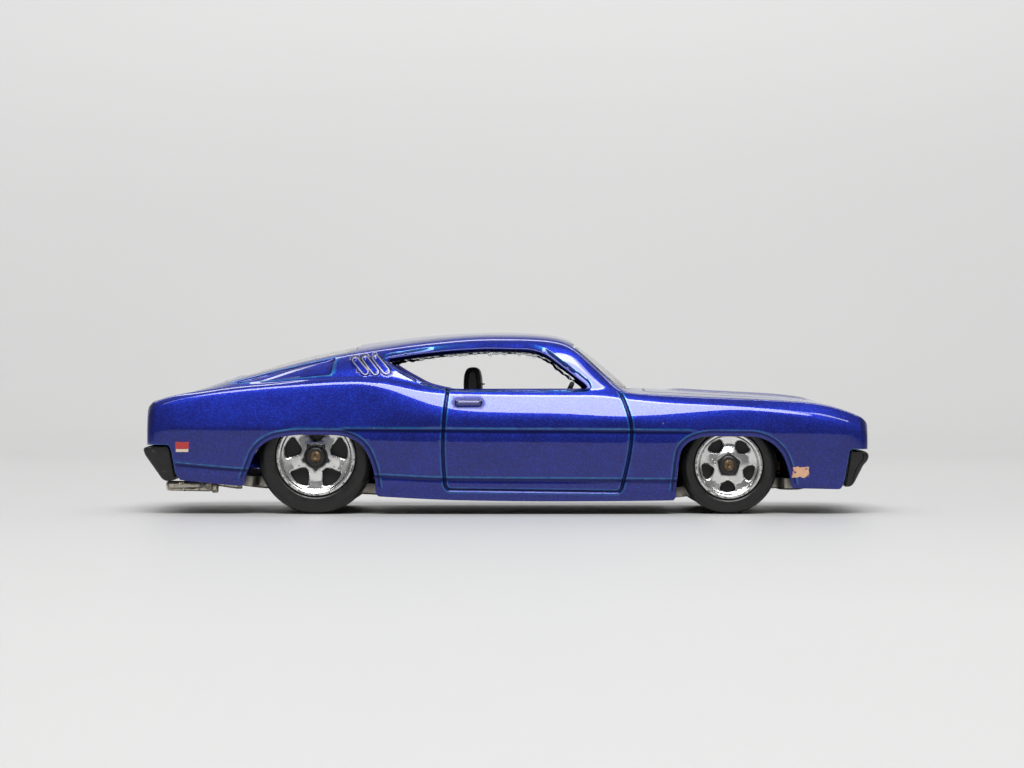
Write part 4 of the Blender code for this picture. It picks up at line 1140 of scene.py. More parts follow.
def notch_path(outline):
    """Where a bumper takes the body's place."""
    line = from_side(rounded(outline, radius=0.7))
    return Path(line, True, 0.6, rolled_edge(0.12), (0.02, 0.07, 0.14), True, {"thin": band(-0.1, 0.07, 0.08)})


def window_path(line):
    shape = total(plateau(0.42, 0.16, -0.2), rolled_edge(0.1))
    # a dark band in the sunk surround next to the opening: painted shade
    marks = {"thin": band(0.5, 0.6, 0.08), "pool": band(0.05, 0.34, 0.1)}
    return Path(line, True, 1.0, shape, (0.04, 0.1, 0.42, 0.5, 0.58, 0.66, 0.8), True, marks)


def crease_path(across, start, end, fade):
    line = np.array([(x, across) for x in np.arange(start, end, -0.3)])
    # a dark band on the dropped side below the crease: painted shade
    marks = {"thin": band(-0.04, 0.1, 0.08), "pool": band(-0.42, -0.12, 0.16)}
    return Path(line, False, 1.4, ledge(0.11, 0.14, 1.2), (-0.55, -0.36, -0.14, -0.05, 0.07, 0.18),
                marks=marks, share=fade_between(end, start, fade))


def louver_path(start, end):
    shape = total(plateau(-0.1, 0.1, -0.3), plateau(0.08, 0.14, 0.08))
    # darker in the sunk middle and round the ring's foot: painted shade
    ring, ring_foot_shade = band(-0.05, 0.16, 0.05), band(0.15, 0.34, 0.08)
    marks = {"bare": lambda s: 0.58 * ring(s), "pool": lambda s: smooth((-0.12 - s) / 0.1) + ring_foot_shade(s)}
    return Path(from_side(pill(start, end, 0.27)), True, 0.5, shape, (-0.1, 0.08, 0.2), marks=marks)


def handle_path(start, end):
    top = band(-0.9, 0.0, 0.1)
    # a dark outline round the raised handle: painted shade
    marks = {"bare": lambda s: 0.49 * top(s), "pool": band(0.04, 0.3, 0.1)}
    return Path(from_side(pill(start, end, 0.33)), True, 0.7, plateau(-0.36, 0.46, 0.3),
                (-0.24, -0.12, 0.0, 0.1, 0.25), marks=marks)


def sail_path(outline):
    """The sunk panel behind the side window."""
    # a dark band at the foot of the panel's step: painted shade
    marks = {"thin": band(-0.02, 0.16, 0.08), "pool": band(-0.34, -0.1, 0.12)}
    return Path(from_side(rounded(outline)), True, 0.7, plateau(-0.14, 0.14, -0.22), (-0.14, -0.06, 0.06),
                marks=marks)


def hump_path():
    """The raised middle of the bonnet."""
    line = np.array([(x, 0.0) for x in np.arange(16.5, 35.0, 0.5)])
    return Path(line, False, 5.0, lambda s: 0.2 * (1 - smooth((np.abs(s) - 3.2) / 1.1)), (3.2, 3.7, 4.3),
                share=fade_between(16.8, 34.5, 2.5))


def body_paths():
    windows = (from_side(rounded(SIDE_WINDOW, radius=0.8)), *glazed_lines())
    return [
        *map(arch_path, (REAR_ARCH, FRONT_ARCH)),
        *map(notch_path, (TAIL_NOTCH, NOSE_NOTCH)),
        *map(window_path, windows),
        groove_path(from_side(rounded(DOOR, False)), False),
        groove_path(from_top(rounded(mirrored_outline(BONNET))), True, 0.2, 0.17),
        groove_path(from_top(rounded(BOOT, False)), False, 0.2, 0.17),
        *(crease_path(*line) for line in CREASE_LINES),
        *(louver_path(*ends) for ends in LOUVERS),
        handle_path(*HANDLE),
        sail_path(SAIL),
        hump_path(),
    ]


def end_patch(patch, side, ring, low_z, paths, end_x, bow):
    """The flat, slightly bowed face that closes the tail or the nose."""
    def surface(u, v):
        y = u * side
        points = np.stack([end_x + bow * (1 - (y / HALF_END) ** 2), y, v], axis=1)
        slope = -2 * bow * y / HALF_END**2
        return points, unit(np.stack([np.ones_like(y), -slope, np.zeros_like(y)], axis=1) * side)

    order = ring[np.argsort(ring[:, 1])]
    edge = skin(order[:, 0], order[:, 1])
    line = np.stack([edge[:, 1] * side, edge[:, 2]], axis=1)
    on_edge = finder(line)
    line = np.vstack([line, [[0.0, low_z]]])
    low_u, high_u = sorted((0.0, 13.5 * side))

    def shared(u, v):
        on_ring = np.array([on_edge.find((a, b, 0.0))[2] < 2e-3 for a, b in zip(u, v)])
        return on_ring | (np.abs(u) < 1e-5)

    grid = even_grid((low_u, low_z), (high_u, 12.6), 0.5)
    shell_patch(patch, ((low_u, low_z - 0.5), (high_u, 13.0)), paths, grid, 0.16, surface, line, shared)


def build_body():
    patch = Patch()
    corners = ((TAIL_X, 0.0), (NOSE_X, FOOT_AT))
    paths = body_paths()
    grid = even_grid(*corners, 0.46)
    for x in np.concatenate([np.arange(-38.6, -37.7, 0.12), np.arange(37.95, 38.85, 0.12)]):
        grid += [(float(x), float(v)) for v in np.arange(0.1, FOOT_AT, 0.4)]
    beside = (
        (ROOF_EDGE_AT, (-0.35, -0.12, 0.12, 0.35)), (BELT_AT, (-0.3, 0.0, 0.3)), (SHOULDER_AT, (-0.4, 0.0, 0.4)),
    )
    for across, gaps in beside:
        for gap in gaps:
            grid += [(float(x), across + gap) for x in np.arange(TAIL_X, NOSE_X, 0.4)]

    def at_x(u, end_x):
        return np.abs(u - end_x) < 1e-4

    def shared(u, v):
        return (np.abs(v) < 1e-5) | at_x(u, TAIL_X) | at_x(u, NOSE_X)

    border = shell_patch(patch, corners, paths, grid, 0.15, skin_with_normal, shared=shared,
                         coarse=even_grid(*corners, 1.3))
    tail, nose = (border[at_x(border[:, 0], end_x)] for end_x in (TAIL_X, NOSE_X))
    rings = (-0.12, -0.04, 0.06)
    panel = rounded(rectangle(-12.0, 8.1, 12.0, 10.45), radius=0.3)
    marks = {"thin": band(-0.02, 0.14, 0.08)}
    tail_paths = [Path(panel, True, 0.5, plateau(-0.12, 0.14, -0.25), rings, marks=marks)]
    for y in TAIL_LAMPS:
        lamp = rounded(rectangle(-y - 0.8, 8.55, -y + 0.8, 9.95), radius=0.2)
        tail_paths.append(Path(lamp, True, 0.3, plateau(-0.12, 0.14, 0.16), rings))
    end_patch(patch, -1, tail, 7.47, tail_paths, TAIL_X, -TAIL_BOW)
    opening = rounded(rectangle(-11.0, 7.35, 11.0, 9.35), radius=0.2)
    marks = {"thin": band(0.0, 0.12, 0.08)}
    nose_paths = [Path(opening, True, 0.5, rolled_edge(0.15), (0.03, 0.08, 0.16), True, marks)]
    end_patch(patch, 1, nose, 6.97, nose_paths, NOSE_X, NOSE_BOW)
    patch.add_mirrored()
    finished(patch, "body_skin", PAINT, "car", "blue_paint", "body_shell")


build_body()


# ---- wheels ----

SIDES = {"left": 1, "right": -1}
REAR_AXLE = (-20.5, 6.2)
FRONT_AXLE = (23.9, 5.28)
SPOKES = 5
ENDS = (  # name, centre of the wheels, |y| of their faces, width, radius of the rim, degrees turned
    ("front", FRONT_AXLE, 13.0, 3.2, 3.65, 52.0),
    ("rear", REAR_AXLE, 13.2, 3.8, 4.25, 17.0),
)
# the corners of one gap between spokes: share of the rim's radius, degrees, rounding
GAPS = {
    "rear": ((0.40, -11, 0.25), (0.79, -24.5, 0.5), (0.86, 0, 1.4), (0.79, 24.5, 0.5), (0.40, 11, 0.25)),
    "front": ((0.44, 0, 0.25), (0.62, -21, 0.35), (0.79, -19, 0.35), (0.82, 0, 1.2), (0.79, 19, 0.35),
              (0.62, 21, 0.35)),
}


def eased(points, places, reach):
    """Values at evenly spaced places from (place, value) points, averaged twice, and their slope."""
    values = np.interp(places, *zip(*points))
    size = 2 * reach + 1
    for _ in range(2):
        values = np.convolve(np.pad(values, reach, mode="edge"), np.ones(size) / size, mode="valid")
    return values, np.gradient(values, places)


def disc_surface(centre, face, side, heights):
    """The outer face of a wheel, from (radius, height) points."""
    radii = np.linspace(0.0, 6.0, 1201)
    height, slope = eased(heights, radii, 8)

    def surface(u, v):
        r = np.maximum(np.hypot(u, v), 1e-6)
        out = np.stack([-side * u / r, np.zeros_like(u), v / r], axis=1)
        y = side * (face + np.interp(r, radii, height))
        points = np.stack([centre[0] - side * u, y, centre[1] + v], axis=1)
        return points, unit(np.array([0.0, side, 0.0]) - np.interp(r, radii, slope)[:, None] * out)

    return surface


def polar_line(radius):
    """A closed line from a radius that depends on the angle."""
    turns = np.linspace(0, FULL_TURN, 360, endpoint=False)
    r = radius(turns)
    return resampled(np.stack([r * np.cos(turns), r * np.sin(turns)], axis=1), 0.15, True)


def circle(radius, x=0.0):
    return polar_line(lambda turns: np.full_like(turns, radius)) + (x, 0.0)


def spoke_gap(corners, rim, angle):
    """The black opening between two spokes, sunk into the face."""
    outline = []
    for share, degrees, radius in corners:
        at = angle + math.radians(degrees)
        outline.append((rim * share * math.cos(at), rim * share * math.sin(at), radius))
    shape = total(plateau(-0.16, 0.14, -1.0), plateau(-0.02, 0.16, -0.07))
    marks = {"black": lambda s: smooth((0.015 - s) / 0.03), "thin": band(-0.05, 0.1, 0.08)}
    return Path(rounded(outline, spacing=0.15), True, 1.5, shape, (-0.15, -0.09, 0.05, 0.14), marks=marks)


def hub_path(end, spoke):
    """The raised black hub: lobes towards the spokes at the rear, five flats in front."""
    if end == "rear":
        line = polar_line(lambda a: 1.28 + 0.28 * np.maximum(np.cos(SPOKES * (a - spoke)), 0.0) ** 3)
    else:
        wedge = FULL_TURN / SPOKES
        line = polar_line(lambda a: 1.07 / np.cos((a - spoke) % wedge - wedge / 2))
    marks = {"black": lambda s: smooth((0.04 - s) / 0.03)}
    return Path(line, True, 1.6, plateau(-0.1, 0.12, 0.16), (-0.1, 0.02), marks=marks)


def build_wheel(end, hand, centre, face, inner, rim, turn):
    """The chromed face, its black gaps and hub, and the barrel behind them."""
    side = SIDES[hand]
    turn = math.radians(180 - turn if side > 0 else turn)
    heights = [
        (0.0, -0.05), (0.95, -0.05), (1.0, -0.28), (1.3, -0.28), (1.9, -0.5), (rim * 0.62, -0.62),
        (rim - 0.62, -0.5), (rim - 0.5, -0.42), (rim - 0.42, -0.12), (rim - 0.1, -0.1), (rim, -0.24),
    ]
    paths = [spoke_gap(GAPS[end], rim, turn + FULL_TURN * k / SPOKES) for k in range(SPOKES)]
    paths.append(hub_path(end, turn + math.pi / SPOKES))
    for radius in (rim - 0.55, rim - 0.46, rim - 0.38, rim - 0.12, 0.97, 0.72, 0.4):
        paths.append(Path(circle(radius), True, 0.1))  # only lays edges where the height turns
    edge = circle(rim)
    marks = {"black": band(-0.07, 0.1, 0.05), "thin": band(-0.2, -0.02, 0.1)}
    paths.append(Path(edge, True, 0.6, marks=marks))
    box = ((-rim - 0.1, -rim - 0.1), (rim + 0.1, rim + 0.1))
    surface = disc_surface(centre, face, side, heights)
    patch = Patch()
    shell_patch(patch, box, paths, even_grid(*box, 0.3), 0.1, surface, edge, wall=0.0)
    barrel = [
        (rim, face - 0.26), (rim, inner + 0.2), (rim - 0.5, inner + 0.2), (rim - 0.6, face - 1.7),
        (1.2, face - 1.75), (1.1, inner + 0.2), (0.56, inner + 0.2), (0.56, face - 1.55),
        (rim - 0.35, face - 1.45), (rim - 0.2, face - 0.4),
    ]
    turned(patch, barrel, centre, side, corner=0.06, marks={"black": 1.0})
    body = f"wheel_{end}_{hand}"
    finished(patch, f"wheel_face_{end}_{hand}", CHROME, body, "wheel_chrome", body)


def build_tyre(end, hand, centre, face, inner, rim):
    radius, bore = centre[1], rim + 0.06
    profile = [
        (bore, inner + 0.15, 0.05), (bore, face - 0.3, 0.05), (bore + 0.1, face - 0.08, 0.08),
        (bore + 0.34, face - 0.01, 0.1), (bore + 0.42, face - 0.07, 0.06), (bore + 0.5, face - 0.02, 0.08),
        (radius - 0.75, face - 0.04, 0.3), (radius - 0.2, face - 0.42, 0.5), (radius, face - 1.0, 0.5),
        (radius, inner + 0.8, 0.5), (radius - 0.3, inner + 0.1, 0.4), (bore + 0.7, inner, 0.2),
    ]
    patch = Patch()
    turned(patch, profile, centre, SIDES[hand], steps=96, spacing=0.13)
    name = f"{end}_{hand}"
    finished(patch, "tyre_band_" + name, TYRE, "wheel_" + name, "tyre_black", "tyre_" + name)


def build_axle(end, centre, face):
    """A pin with a formed head at each end."""
    profile = [
        (0.0, 0.0, 0.01), (0.45, 0.0, 0.01), (0.45, face, 0.02), (0.63, face, 0.05), (0.64, face + 0.12, 0.1),
        (0.54, face + 0.26, 0.12), (0.32, face + 0.35, 0.1), (0.26, face + 0.28, 0.06), (0.0, face + 0.26, 0.02),
    ]
    patch = Patch()
    for side in (-1, 1):
        turned(patch, profile, centre, side, steps=32, spacing=0.12)
    finished(patch, f"axle_pin_{end}", STEEL, f"{end}_axle", "axle_steel", f"{end}_axle")


def build_running_gear():
    for end, centre, face, width, rim, turn in ENDS:
        build_axle(end, centre, face)
        for hand in SIDES:
            build_wheel(end, hand, centre, face, face - width, rim, turn)
            build_tyre(end, hand, centre, face, face - width, rim)


build_running_gear()


# ---- trim ----

def bumper(name, outline, half_width, node):
    """A bar across the car, bowed in plan, with rounded and slightly drawn-in ends."""
    line = rounded(outline, True, 0.25, 0.14)
    middle = line[:, 0].mean()
    out = math.copysign(1, middle)
    outward = 1 if signed_area(line) > 0 else -1
    front = np.clip((line[:, 0] - middle) * out / 1.2 + 0.5, 0.0, 1.0)  # 1 on the outer face, 0 on the inner
    turn_in = 0.5  # radius at the ends, in plan
    ends = [half_width - turn_in * (1 - math.sin(a)) for a in np.linspace(0, math.pi / 2, 8)]
    stations = [*np.linspace(0.0, ends[0], 12)[:-1], *ends]

    def drop(radius, y):
        """How far a round of this radius at the bar's end falls away at y."""
        into_end = max(abs(y) - half_width + radius, 0.0)
        return radius - math.sqrt(max(radius**2 - into_end**2, 0.0))

    rings = []
    for y in [-y for y in reversed(stations)] + stations[1:]:
        bow = 0.45 * (1 - (y / half_width) ** 2)
        flat = offset_line(line, outward * drop(0.12, y) * 0.1 / 0.12, True)
        x = flat[:, 0] + out * (bow * (0.5 + 0.5 * front) - drop(turn_in, y) * front)
        rings.append(np.stack([x, np.full(len(x), y), flat[:, 1]], axis=1))
    patch = Patch()
    solid(patch, rings)
    finished(patch, name, TRIM, "car", "bumper_black", node)


REAR_BUMPER = [
    (-36.4, 7.33, 0.1), (-38.5, 7.33), (-39.05, 7.1), (-38.9, 6.45, 0.5), (-37.0, 3.75), (-36.5, 3.55),
    (-35.5, 3.7), (-35.75, 4.35), (-36.0, 5.8), (-36.2, 6.95),
]
FRONT_BUMPER = [
    (37.05, 6.8, 0.1), (38.7, 6.75), (39.0, 6.35), (38.85, 5.75), (38.4, 5.3), (37.35, 3.25, 0.4),
    (36.95, 2.95), (36.3, 2.95), (36.45, 3.25), (36.7, 4.6), (37.0, 6.4),
]


def build_grille():
    """A black insert with fine bars, and four printed lamps."""
    patch, lamps = Patch(), Patch()
    low, high, half = 7.45, 9.25, 10.8

    def bowed_out(x, y):
        return x + 0.45 * (1 - (y / half) ** 2)

    bar(patch, rectangle(37.2, low, 37.6, high), -half, half, edge=0.05)
    for z in np.linspace(low + 0.12, high - 0.12, 6):
        tube(patch, [(bowed_out(38.15, y), y, z) for y in np.linspace(-half, half, 25)], 0.1, sides=10)
    for y in (-10.75, -6.55, 0.0, 6.55, 10.75):
        bar(patch, rectangle(37.3, low, bowed_out(38.1, y), high), y - 0.1, y + 0.1, edge=0.05)
    for y in (-9.75, -7.55, 7.55, 9.75):
        x = bowed_out(38.15, y)
        dome = [
            (0.0, x + 0.3), (0.35, x + 0.26), (0.62, x + 0.12), (0.66, x - 0.02), (0.6, x - 0.2), (0.0, x - 0.2),
        ]
        ring = [
            (0.66, x - 0.6), (0.66, x + 0.02), (0.74, x + 0.1), (0.86, x + 0.08), (0.88, x - 0.1), (0.88, x - 0.6),
        ]
        for target, outline in ((lamps, dome), (patch, ring)):
            spun(target, outline, lambda a, b, h: (h, y + a, (low + high) / 2 + b), 32, 0.08, 0.1)
    finished(patch, "grille_bars", TRIM, "car", "bumper_black", "grille_insert")
    finished(lamps, "headlamp_lenses", LENS, "car", "wheel_chrome")


bumper("bumper_bar_rear", REAR_BUMPER, 13.25, "rear_bumper")
bumper("bumper_bar_front", FRONT_BUMPER, 12.95, "front_bumper")
build_grille()


# ---- clear insert ----

UNDER_ROOF = 1.05  # depth of the insert's web below the body's surface


def build_glass():
    """One clear moulding: a web under the roof, with the two panes standing up into their openings."""
    def surface(u, v):
        points, normals = skin_with_normal(u, v)
        return points - normals * UNDER_ROOF, normals

    patch = Patch()
    gap, step = 0.25, 0.08  # between a pane and its opening, and the slope round the pane
    start = -gap - step
    paths = [Path(line, True, 6.0, plateau(start, step, 0.82), (start, -gap)) for line in glazed_lines()]
    corners = ((-30.6, 0.0), (13.2, 8.4))
    grid = even_grid(*corners, 0.7)

    def shared(u, v):
        return np.abs(v) < 1e-5

    shell_patch(patch, corners, paths, grid, 0.15, surface, shared=shared, wall=0.35,
                coarse=even_grid(*corners, 1.5))
    rail = [(-13.4, 17.0), (-9.8, 17.5), (-6.0, 17.9), (-2.1, 18.1), (2.6, 18.0), (4.4, 17.5), (7.6, 15.0)]
    rail = rounded(rail, False, 1.5, 0.2)
    ragged = []  # a flange above the side window, with moulding flash on its lower edge
    for i, (x, z) in enumerate(rail):
        flash = 0.12 * math.sin(2.9 * x) * math.sin(1.3 * x + 1) + 0.07 * math.sin(7.7 * x)
        fade = 0.25 * min(1.0, i / 5, (len(rail) - 1 - i) / 5)
        low = z - 0.55 - fade + flash
        ragged.append([(x, 9.5, z + 0.1), (x, 9.8, z + 0.1), (x, 9.85, low), (x, 9.62, low - 0.05)])
    solid(patch, ragged)
    patch.add_mirrored()
    finished(patch, "window_moulding", CLEAR, "car", "clear_plastic", "window_insert")


# ---- interior ----

SEAT_Y = 5.4


def interior(patch, name, node):
    finished(patch, name, INTERIOR, "car", "interior_black", node)


def ball(patch, centre, radius):
    turns = np.linspace(0, FULL_TURN, 16, endpoint=False)
    rings = []
    for tilt in np.linspace(-1.45, 1.45, 9):
        flat, up = radius * math.cos(tilt), radius * math.sin(tilt)
        across = (centre[0] + flat * np.cos(turns), centre[1] + flat * np.sin(turns))
        rings.append(np.stack([*across, np.full(len(turns), centre[2] + up)], axis=1))
    solid(patch, rings)


def build_tub():
    """Floor, bulkheads, parcel shelf, door linings, rear bench and tunnel with its lever."""
    tub = Patch()
    half = 11.6
    bar(tub, [(-13.4, 3.1), (12.6, 3.1), (12.75, 3.9), (-13.3, 3.9)], -half, half)
    bar(tub, [(12.0, 3.3), (12.7, 3.3), (13.2, 11.0), (12.4, 11.0)], -half, half)
    bar(tub, [(-13.4, 3.3), (-12.9, 3.3), (-12.6, 12.6), (-12.9, 13.3), (-17.4, 13.3), (-17.4, 12.75), (-13.9, 12.7)],
        -half, half)
    bar(tub, [(-17.2, 12.75), (-17.2, 13.3), (-22.0, 13.25, 2), (-28.0, 12.4), (-28.0, 11.9), (-22.0, 12.7, 2)],
        -8.7, 8.7)
    lining = [(-13.3, 3.3), (12.6, 3.3), (13.1, 11.0), (9.5, 11.05), (-8.0, 11.55), (-12.6, 13.25), (-12.8, 13.2)]
    rest = [(-3.5, 7.7), (4.0, 7.9), (4.0, 8.5), (-3.5, 8.4)]
    bench = [(-12.4, 4.2), (-8.9, 4.2), (-8.7, 7.0), (-9.2, 7.6), (-12.3, 7.9)]
    bench_back = [(-12.9, 7.2), (-11.5, 7.4), (-12.1, 11.8), (-12.6, 12.4), (-13.0, 12.3)]
    for side in (-1, 1):
        bar(tub, lining, side * 10.8, side * half, corner=0.1)
        bar(tub, rest, side * 10.0, side * 11.0, edge=0.2, corner=0.2)
        bar(tub, bench, side * 0.6, side * 10.4, edge=0.5, corner=0.5)
        bar(tub, bench_back, side * 0.6, side * 10.4, edge=0.5, corner=0.4)
    tunnel = [(-8.6, 3.8), (8.0, 3.8), (10.4, 6.5), (10.4, 7.4), (7.5, 5.6), (-8.2, 5.4)]
    bar(tub, tunnel, -1.1, 1.1, edge=0.4, corner=0.4)
    tube(tub, [(3.2, 0, 5.2), (3.0, 0, 6.6), (2.7, 0, 8.0)], 0.16)
    ball(tub, (2.68, 0.0, 8.2), 0.36)
    interior(tub, "interior_moulding", "interior_tub")


def build_dashboard():
    """A bar across the cabin with a binnacle, a glove box and three controls."""
    dash = Patch()
    bar(dash, [(8.4, 9.7, 0.1), (11.6, 9.6), (11.7, 12.4, 0.3), (10.6, 12.85, 0.5), (8.8, 12.6, 0.5),
               (8.25, 12.0, 0.4), (8.5, 10.6)], -10.7, 10.7, edge=0.4)
    binnacle = [(8.3, 12.2), (10.6, 12.6), (10.4, 13.0), (8.8, 12.9)]
    bar(dash, binnacle, SEAT_Y - 2.0, SEAT_Y + 2.0, edge=0.35, corner=0.2)
    bar(dash, rectangle(8.2, 10.9, 8.7, 11.7), -8.5, -2.0, corner=0.1)
    for y in (-1.0, 0.0, 1.0):
        bar(dash, rectangle(8.2, 11.0, 8.6, 11.6), y - 0.35, y + 0.35, edge=0.1, corner=0.1)
    interior(dash, "dashboard_moulding", "dashboard")


def build_seat(name, y):
    """Cushion, back, two panels on each, a head-rest and its seam."""
    seat = Patch()
    bar(seat, [(-4.4, 3.95, 0.1), (2.6, 3.95, 0.1), (2.85, 6.3, 0.8), (2.2, 7.15, 0.8), (-1.4, 6.7), (-4.4, 6.6)],
        y - 2.5, y + 2.5, edge=0.55, crown=0.1)
    bar(seat, [(-4.7, 5.0, 0.4), (-1.6, 5.4, 0.4), (-2.5, 12.0), (-2.85, 13.2, 0.6), (-4.1, 13.35, 0.7),
               (-4.95, 12.0)], y - 2.45, y + 2.45, edge=0.6, crown=0.08)
    panels = (
        [(-1.2, 6.8), (2.2, 7.1), (2.0, 7.35), (-1.0, 7.1)], [(-1.9, 7.4), (-1.65, 7.4), (-2.4, 12.3), (-2.7, 12.3)],
    )
    for offset in (-1.1, 1.1):
        for panel in panels:
            bar(seat, panel, y + offset - 0.95, y + offset + 0.95, edge=0.3, corner=0.2)
    bar(seat, [(-2.85, 12.6, 0.3), (-2.75, 13.7, 0.5), (-2.85, 15.0, 0.8), (-3.1, 15.8, 0.8), (-4.3, 15.8, 0.8),
               (-4.65, 15.0, 0.8), (-4.7, 13.6, 0.4), (-4.5, 12.6, 0.3)], y - 1.35, y + 1.35, edge=0.5, crown=0.05)
    tube(seat, [(-2.62, y - 1.1, 14.0), (-2.55, y, 14.0), (-2.62, y + 1.1, 14.0)], 0.09, sides=8)
    interior(seat, name + "_moulding", name)


def build_steering_wheel():
    """Rim, three spokes and a column, made flat and then tilted into place."""
    wheel = Patch()
    tilt = np.array(Matrix.Rotation(math.pi / 2 + math.radians(25), 3, "Y"))
    radius = 1.52

    def rod(line, *size, **options):
        tube(wheel, np.array(line) @ tilt.T + np.array([6.75, SEAT_Y, 12.65]), *size, **options)

    turns = np.linspace(0, FULL_TURN, 40, endpoint=False)
    rod(np.stack([radius * np.cos(turns), radius * np.sin(turns), 0 * turns], axis=1), 0.27, closed=True)
    for turn in (math.radians(a) for a in (0, 128, 232)):
        rod([[r * math.cos(turn), r * math.sin(turn), 0.12 - 0.08 * r] for r in (0.2, 0.8, 1.5)], 0.14, sides=8)
    rod([[0.0, 0.0, h] for h in (-0.2, 0.1, 0.7, 1.35)], 0.36, sides=14)
    interior(wheel, "steering_wheel_moulding", "steering_wheel")


# ---- base ----

BASE_LOW = [  # (x, z) of the underside
    (-33.6, 3.9), (-26.8, 2.9), (-13.0, 2.0), (-4.0, 1.62), (5.6, 1.52), (17.4, 1.6), (28.6, 2.75), (35.2, 2.85),
]
BASE_TABLE = np.linspace(-36, 36, 1441)
BASE_HEIGHT, BASE_SLOPE = eased(BASE_LOW, BASE_TABLE, 12)
BASE_OUTLINE = [
    (-33.6, 10.4, 1.0), (-28.2, 12.2, 0.5), (-27.3, 12.2, 0.3), (-27.2, 8.8, 0.4), (-13.8, 8.8, 0.4),
    (-13.7, 12.5, 0.3), (17.9, 12.5, 0.3), (18.05, 8.8, 0.4), (29.75, 8.8, 0.4), (29.85, 12.3, 0.3), (35.2, 11.6, 1.0),
]
RIVETS = (("rivet_front", 31.6, 11.0), ("rivet_rear", -31.0, 12.2))  # name, x, top


def base_height(x):
    return np.interp(x, BASE_TABLE, BASE_HEIGHT)


def base_surface(u, v):
    """The underside, seen from below: v is -y."""
    normals = np.stack([np.interp(u, BASE_TABLE, BASE_SLOPE), np.zeros_like(u), -np.ones_like(u)], axis=1)
    return np.stack([u, -v, base_height(u)], axis=1), unit(normals)


def relief(points, lift, radius=0.6):
    """A flat raised or sunk area."""
    fall = 0.35
    line = rounded(points, True, radius, 0.3)
    # a dark band round the relief's edge: painted shade
    marks = {"pool": band(0.0, 0.3, 0.15)}
    return Path(line, True, 1.4, plateau(-fall, fall, lift), (-fall, 0.0, 0.12), marks=marks)


def rod_relief(points, radius, lift):
    """A pipe or shaft, half sunk."""
    def shape(s):
        return lift * np.sqrt(np.clip(1 - (s / radius) ** 2, 0, 1))

    rings = (-radius, -radius * 0.5, 0.0, radius * 0.5, radius)
    # dark bands along both sides of the rod: painted shade
    marks = {"pool": both_sides(radius, radius + 0.25)}
    return Path(rounded(points, False, 1.2, 0.35), False, radius + 0.6, shape, rings, marks=marks)


def base_paths():
    """Engine, gearbox, tank, axle housing, shaft, axles, exhaust, sills, cross members and rivet holes."""
    paths = [
        relief([(19.5, -3.2), (30.0, -3.4), (30.6, 0.0), (30.0, 3.4), (19.5, 3.2)], 0.3),
        relief([(13.0, -2.4), (19.0, -3.0), (19.0, 3.0), (13.0, 2.4)], 0.2),
        relief([(-31.8, -5.0), (-27.8, -5.4), (-27.8, 5.4), (-31.8, 5.0)], 0.22),
        relief([(-22.3, -1.9), (-18.9, -1.9), (-17.8, 0.0), (-18.9, 1.9), (-22.3, 1.9), (-22.9, 0.0)], 0.3),
        rod_relief([(13.0, 0.0), (-18.0, 0.0)], 0.75, 0.25),
        rod_relief([(-20.5, -8.2), (-20.5, 8.2)], 0.7, 0.25),
        rod_relief([(23.9, -8.2), (23.9, 8.2)], 0.7, 0.2),
    ]
    for side in (-1, 1):
        front_pipe = [(21.0, side * 3.9), (15.0, side * 4.6), (-1.5, side * 4.8)]
        rear_pipe = [(-12.5, side * 4.9), (-17.0, side * 6.6), (-24.0, side * 7.2), (-31.5, side * 8.9)]
        paths += [
            rod_relief(front_pipe, 0.55, 0.25),
            relief(rectangle(-12.5, side * 3.3, -2.0, side * 6.4), 0.28, 1.0),
            rod_relief(rear_pipe, 0.5, 0.25),
            relief(rectangle(-10.0, side * 9.2, 14.0, side * 11.4), -0.15),
        ]
    for x in (8.0, 2.5):
        paths.append(rod_relief([(x, -8.4), (x, 8.4)], 0.45, 0.15))
    for _, x, _ in RIVETS:
        paths.append(Path(circle(1.3, x), True, 0.7, None, (0.3,), True))
        # a dark ring inside the sunk rim round each rivet hole: painted shade
        paths.append(Path(circle(2.05, x), True, 0.6, plateau(0.0, 0.2, -0.12), (0.2,),
                          marks={"pool": band(-0.6, 0.2, 0.2)}))
    return paths


def build_base():
    """The cast plate with relief on its underside, and the blocks that hold the axles."""
    patch = Patch()
    box = ((-36.0, -13.0), (36.0, 13.0))
    line = rounded(mirrored_outline(BASE_OUTLINE), spacing=0.3)
    shell_patch(patch, box, base_paths(), even_grid(*box, 0.62), 0.2, base_surface, line, wall=1.05,
                coarse=even_grid(*box, 2.0))
    for x, z in (REAR_AXLE, FRONT_AXLE):
        for low, high in ((-8.5, -0.4), (0.4, 8.5)):
            bar(patch, rectangle(x - 1.5, 2.9, x + 1.5, z + 1.1), low, high, corner=0.2)
    finished(patch, "base_casting", BASE, "car", "base_metal", "base_plate")


def build_rivet(name, x, top):
    low = float(base_height(x)) - 0.25
    profile = [
        (0.0, top), (1.1, top), (1.1, low + 0.05), (1.65, low), (1.6, low - 0.2, 0.2), (0.9, low - 0.34, 0.2),
        (0.7, low - 0.12, 0.1), (0.0, low - 0.05),
    ]
    rivet = Patch()
    spun(rivet, profile, lambda a, b, h: (x + a, b, h), 36, 0.08, 0.12)
    finished(rivet, name + "_head", BASE, "car", "base_metal", name)


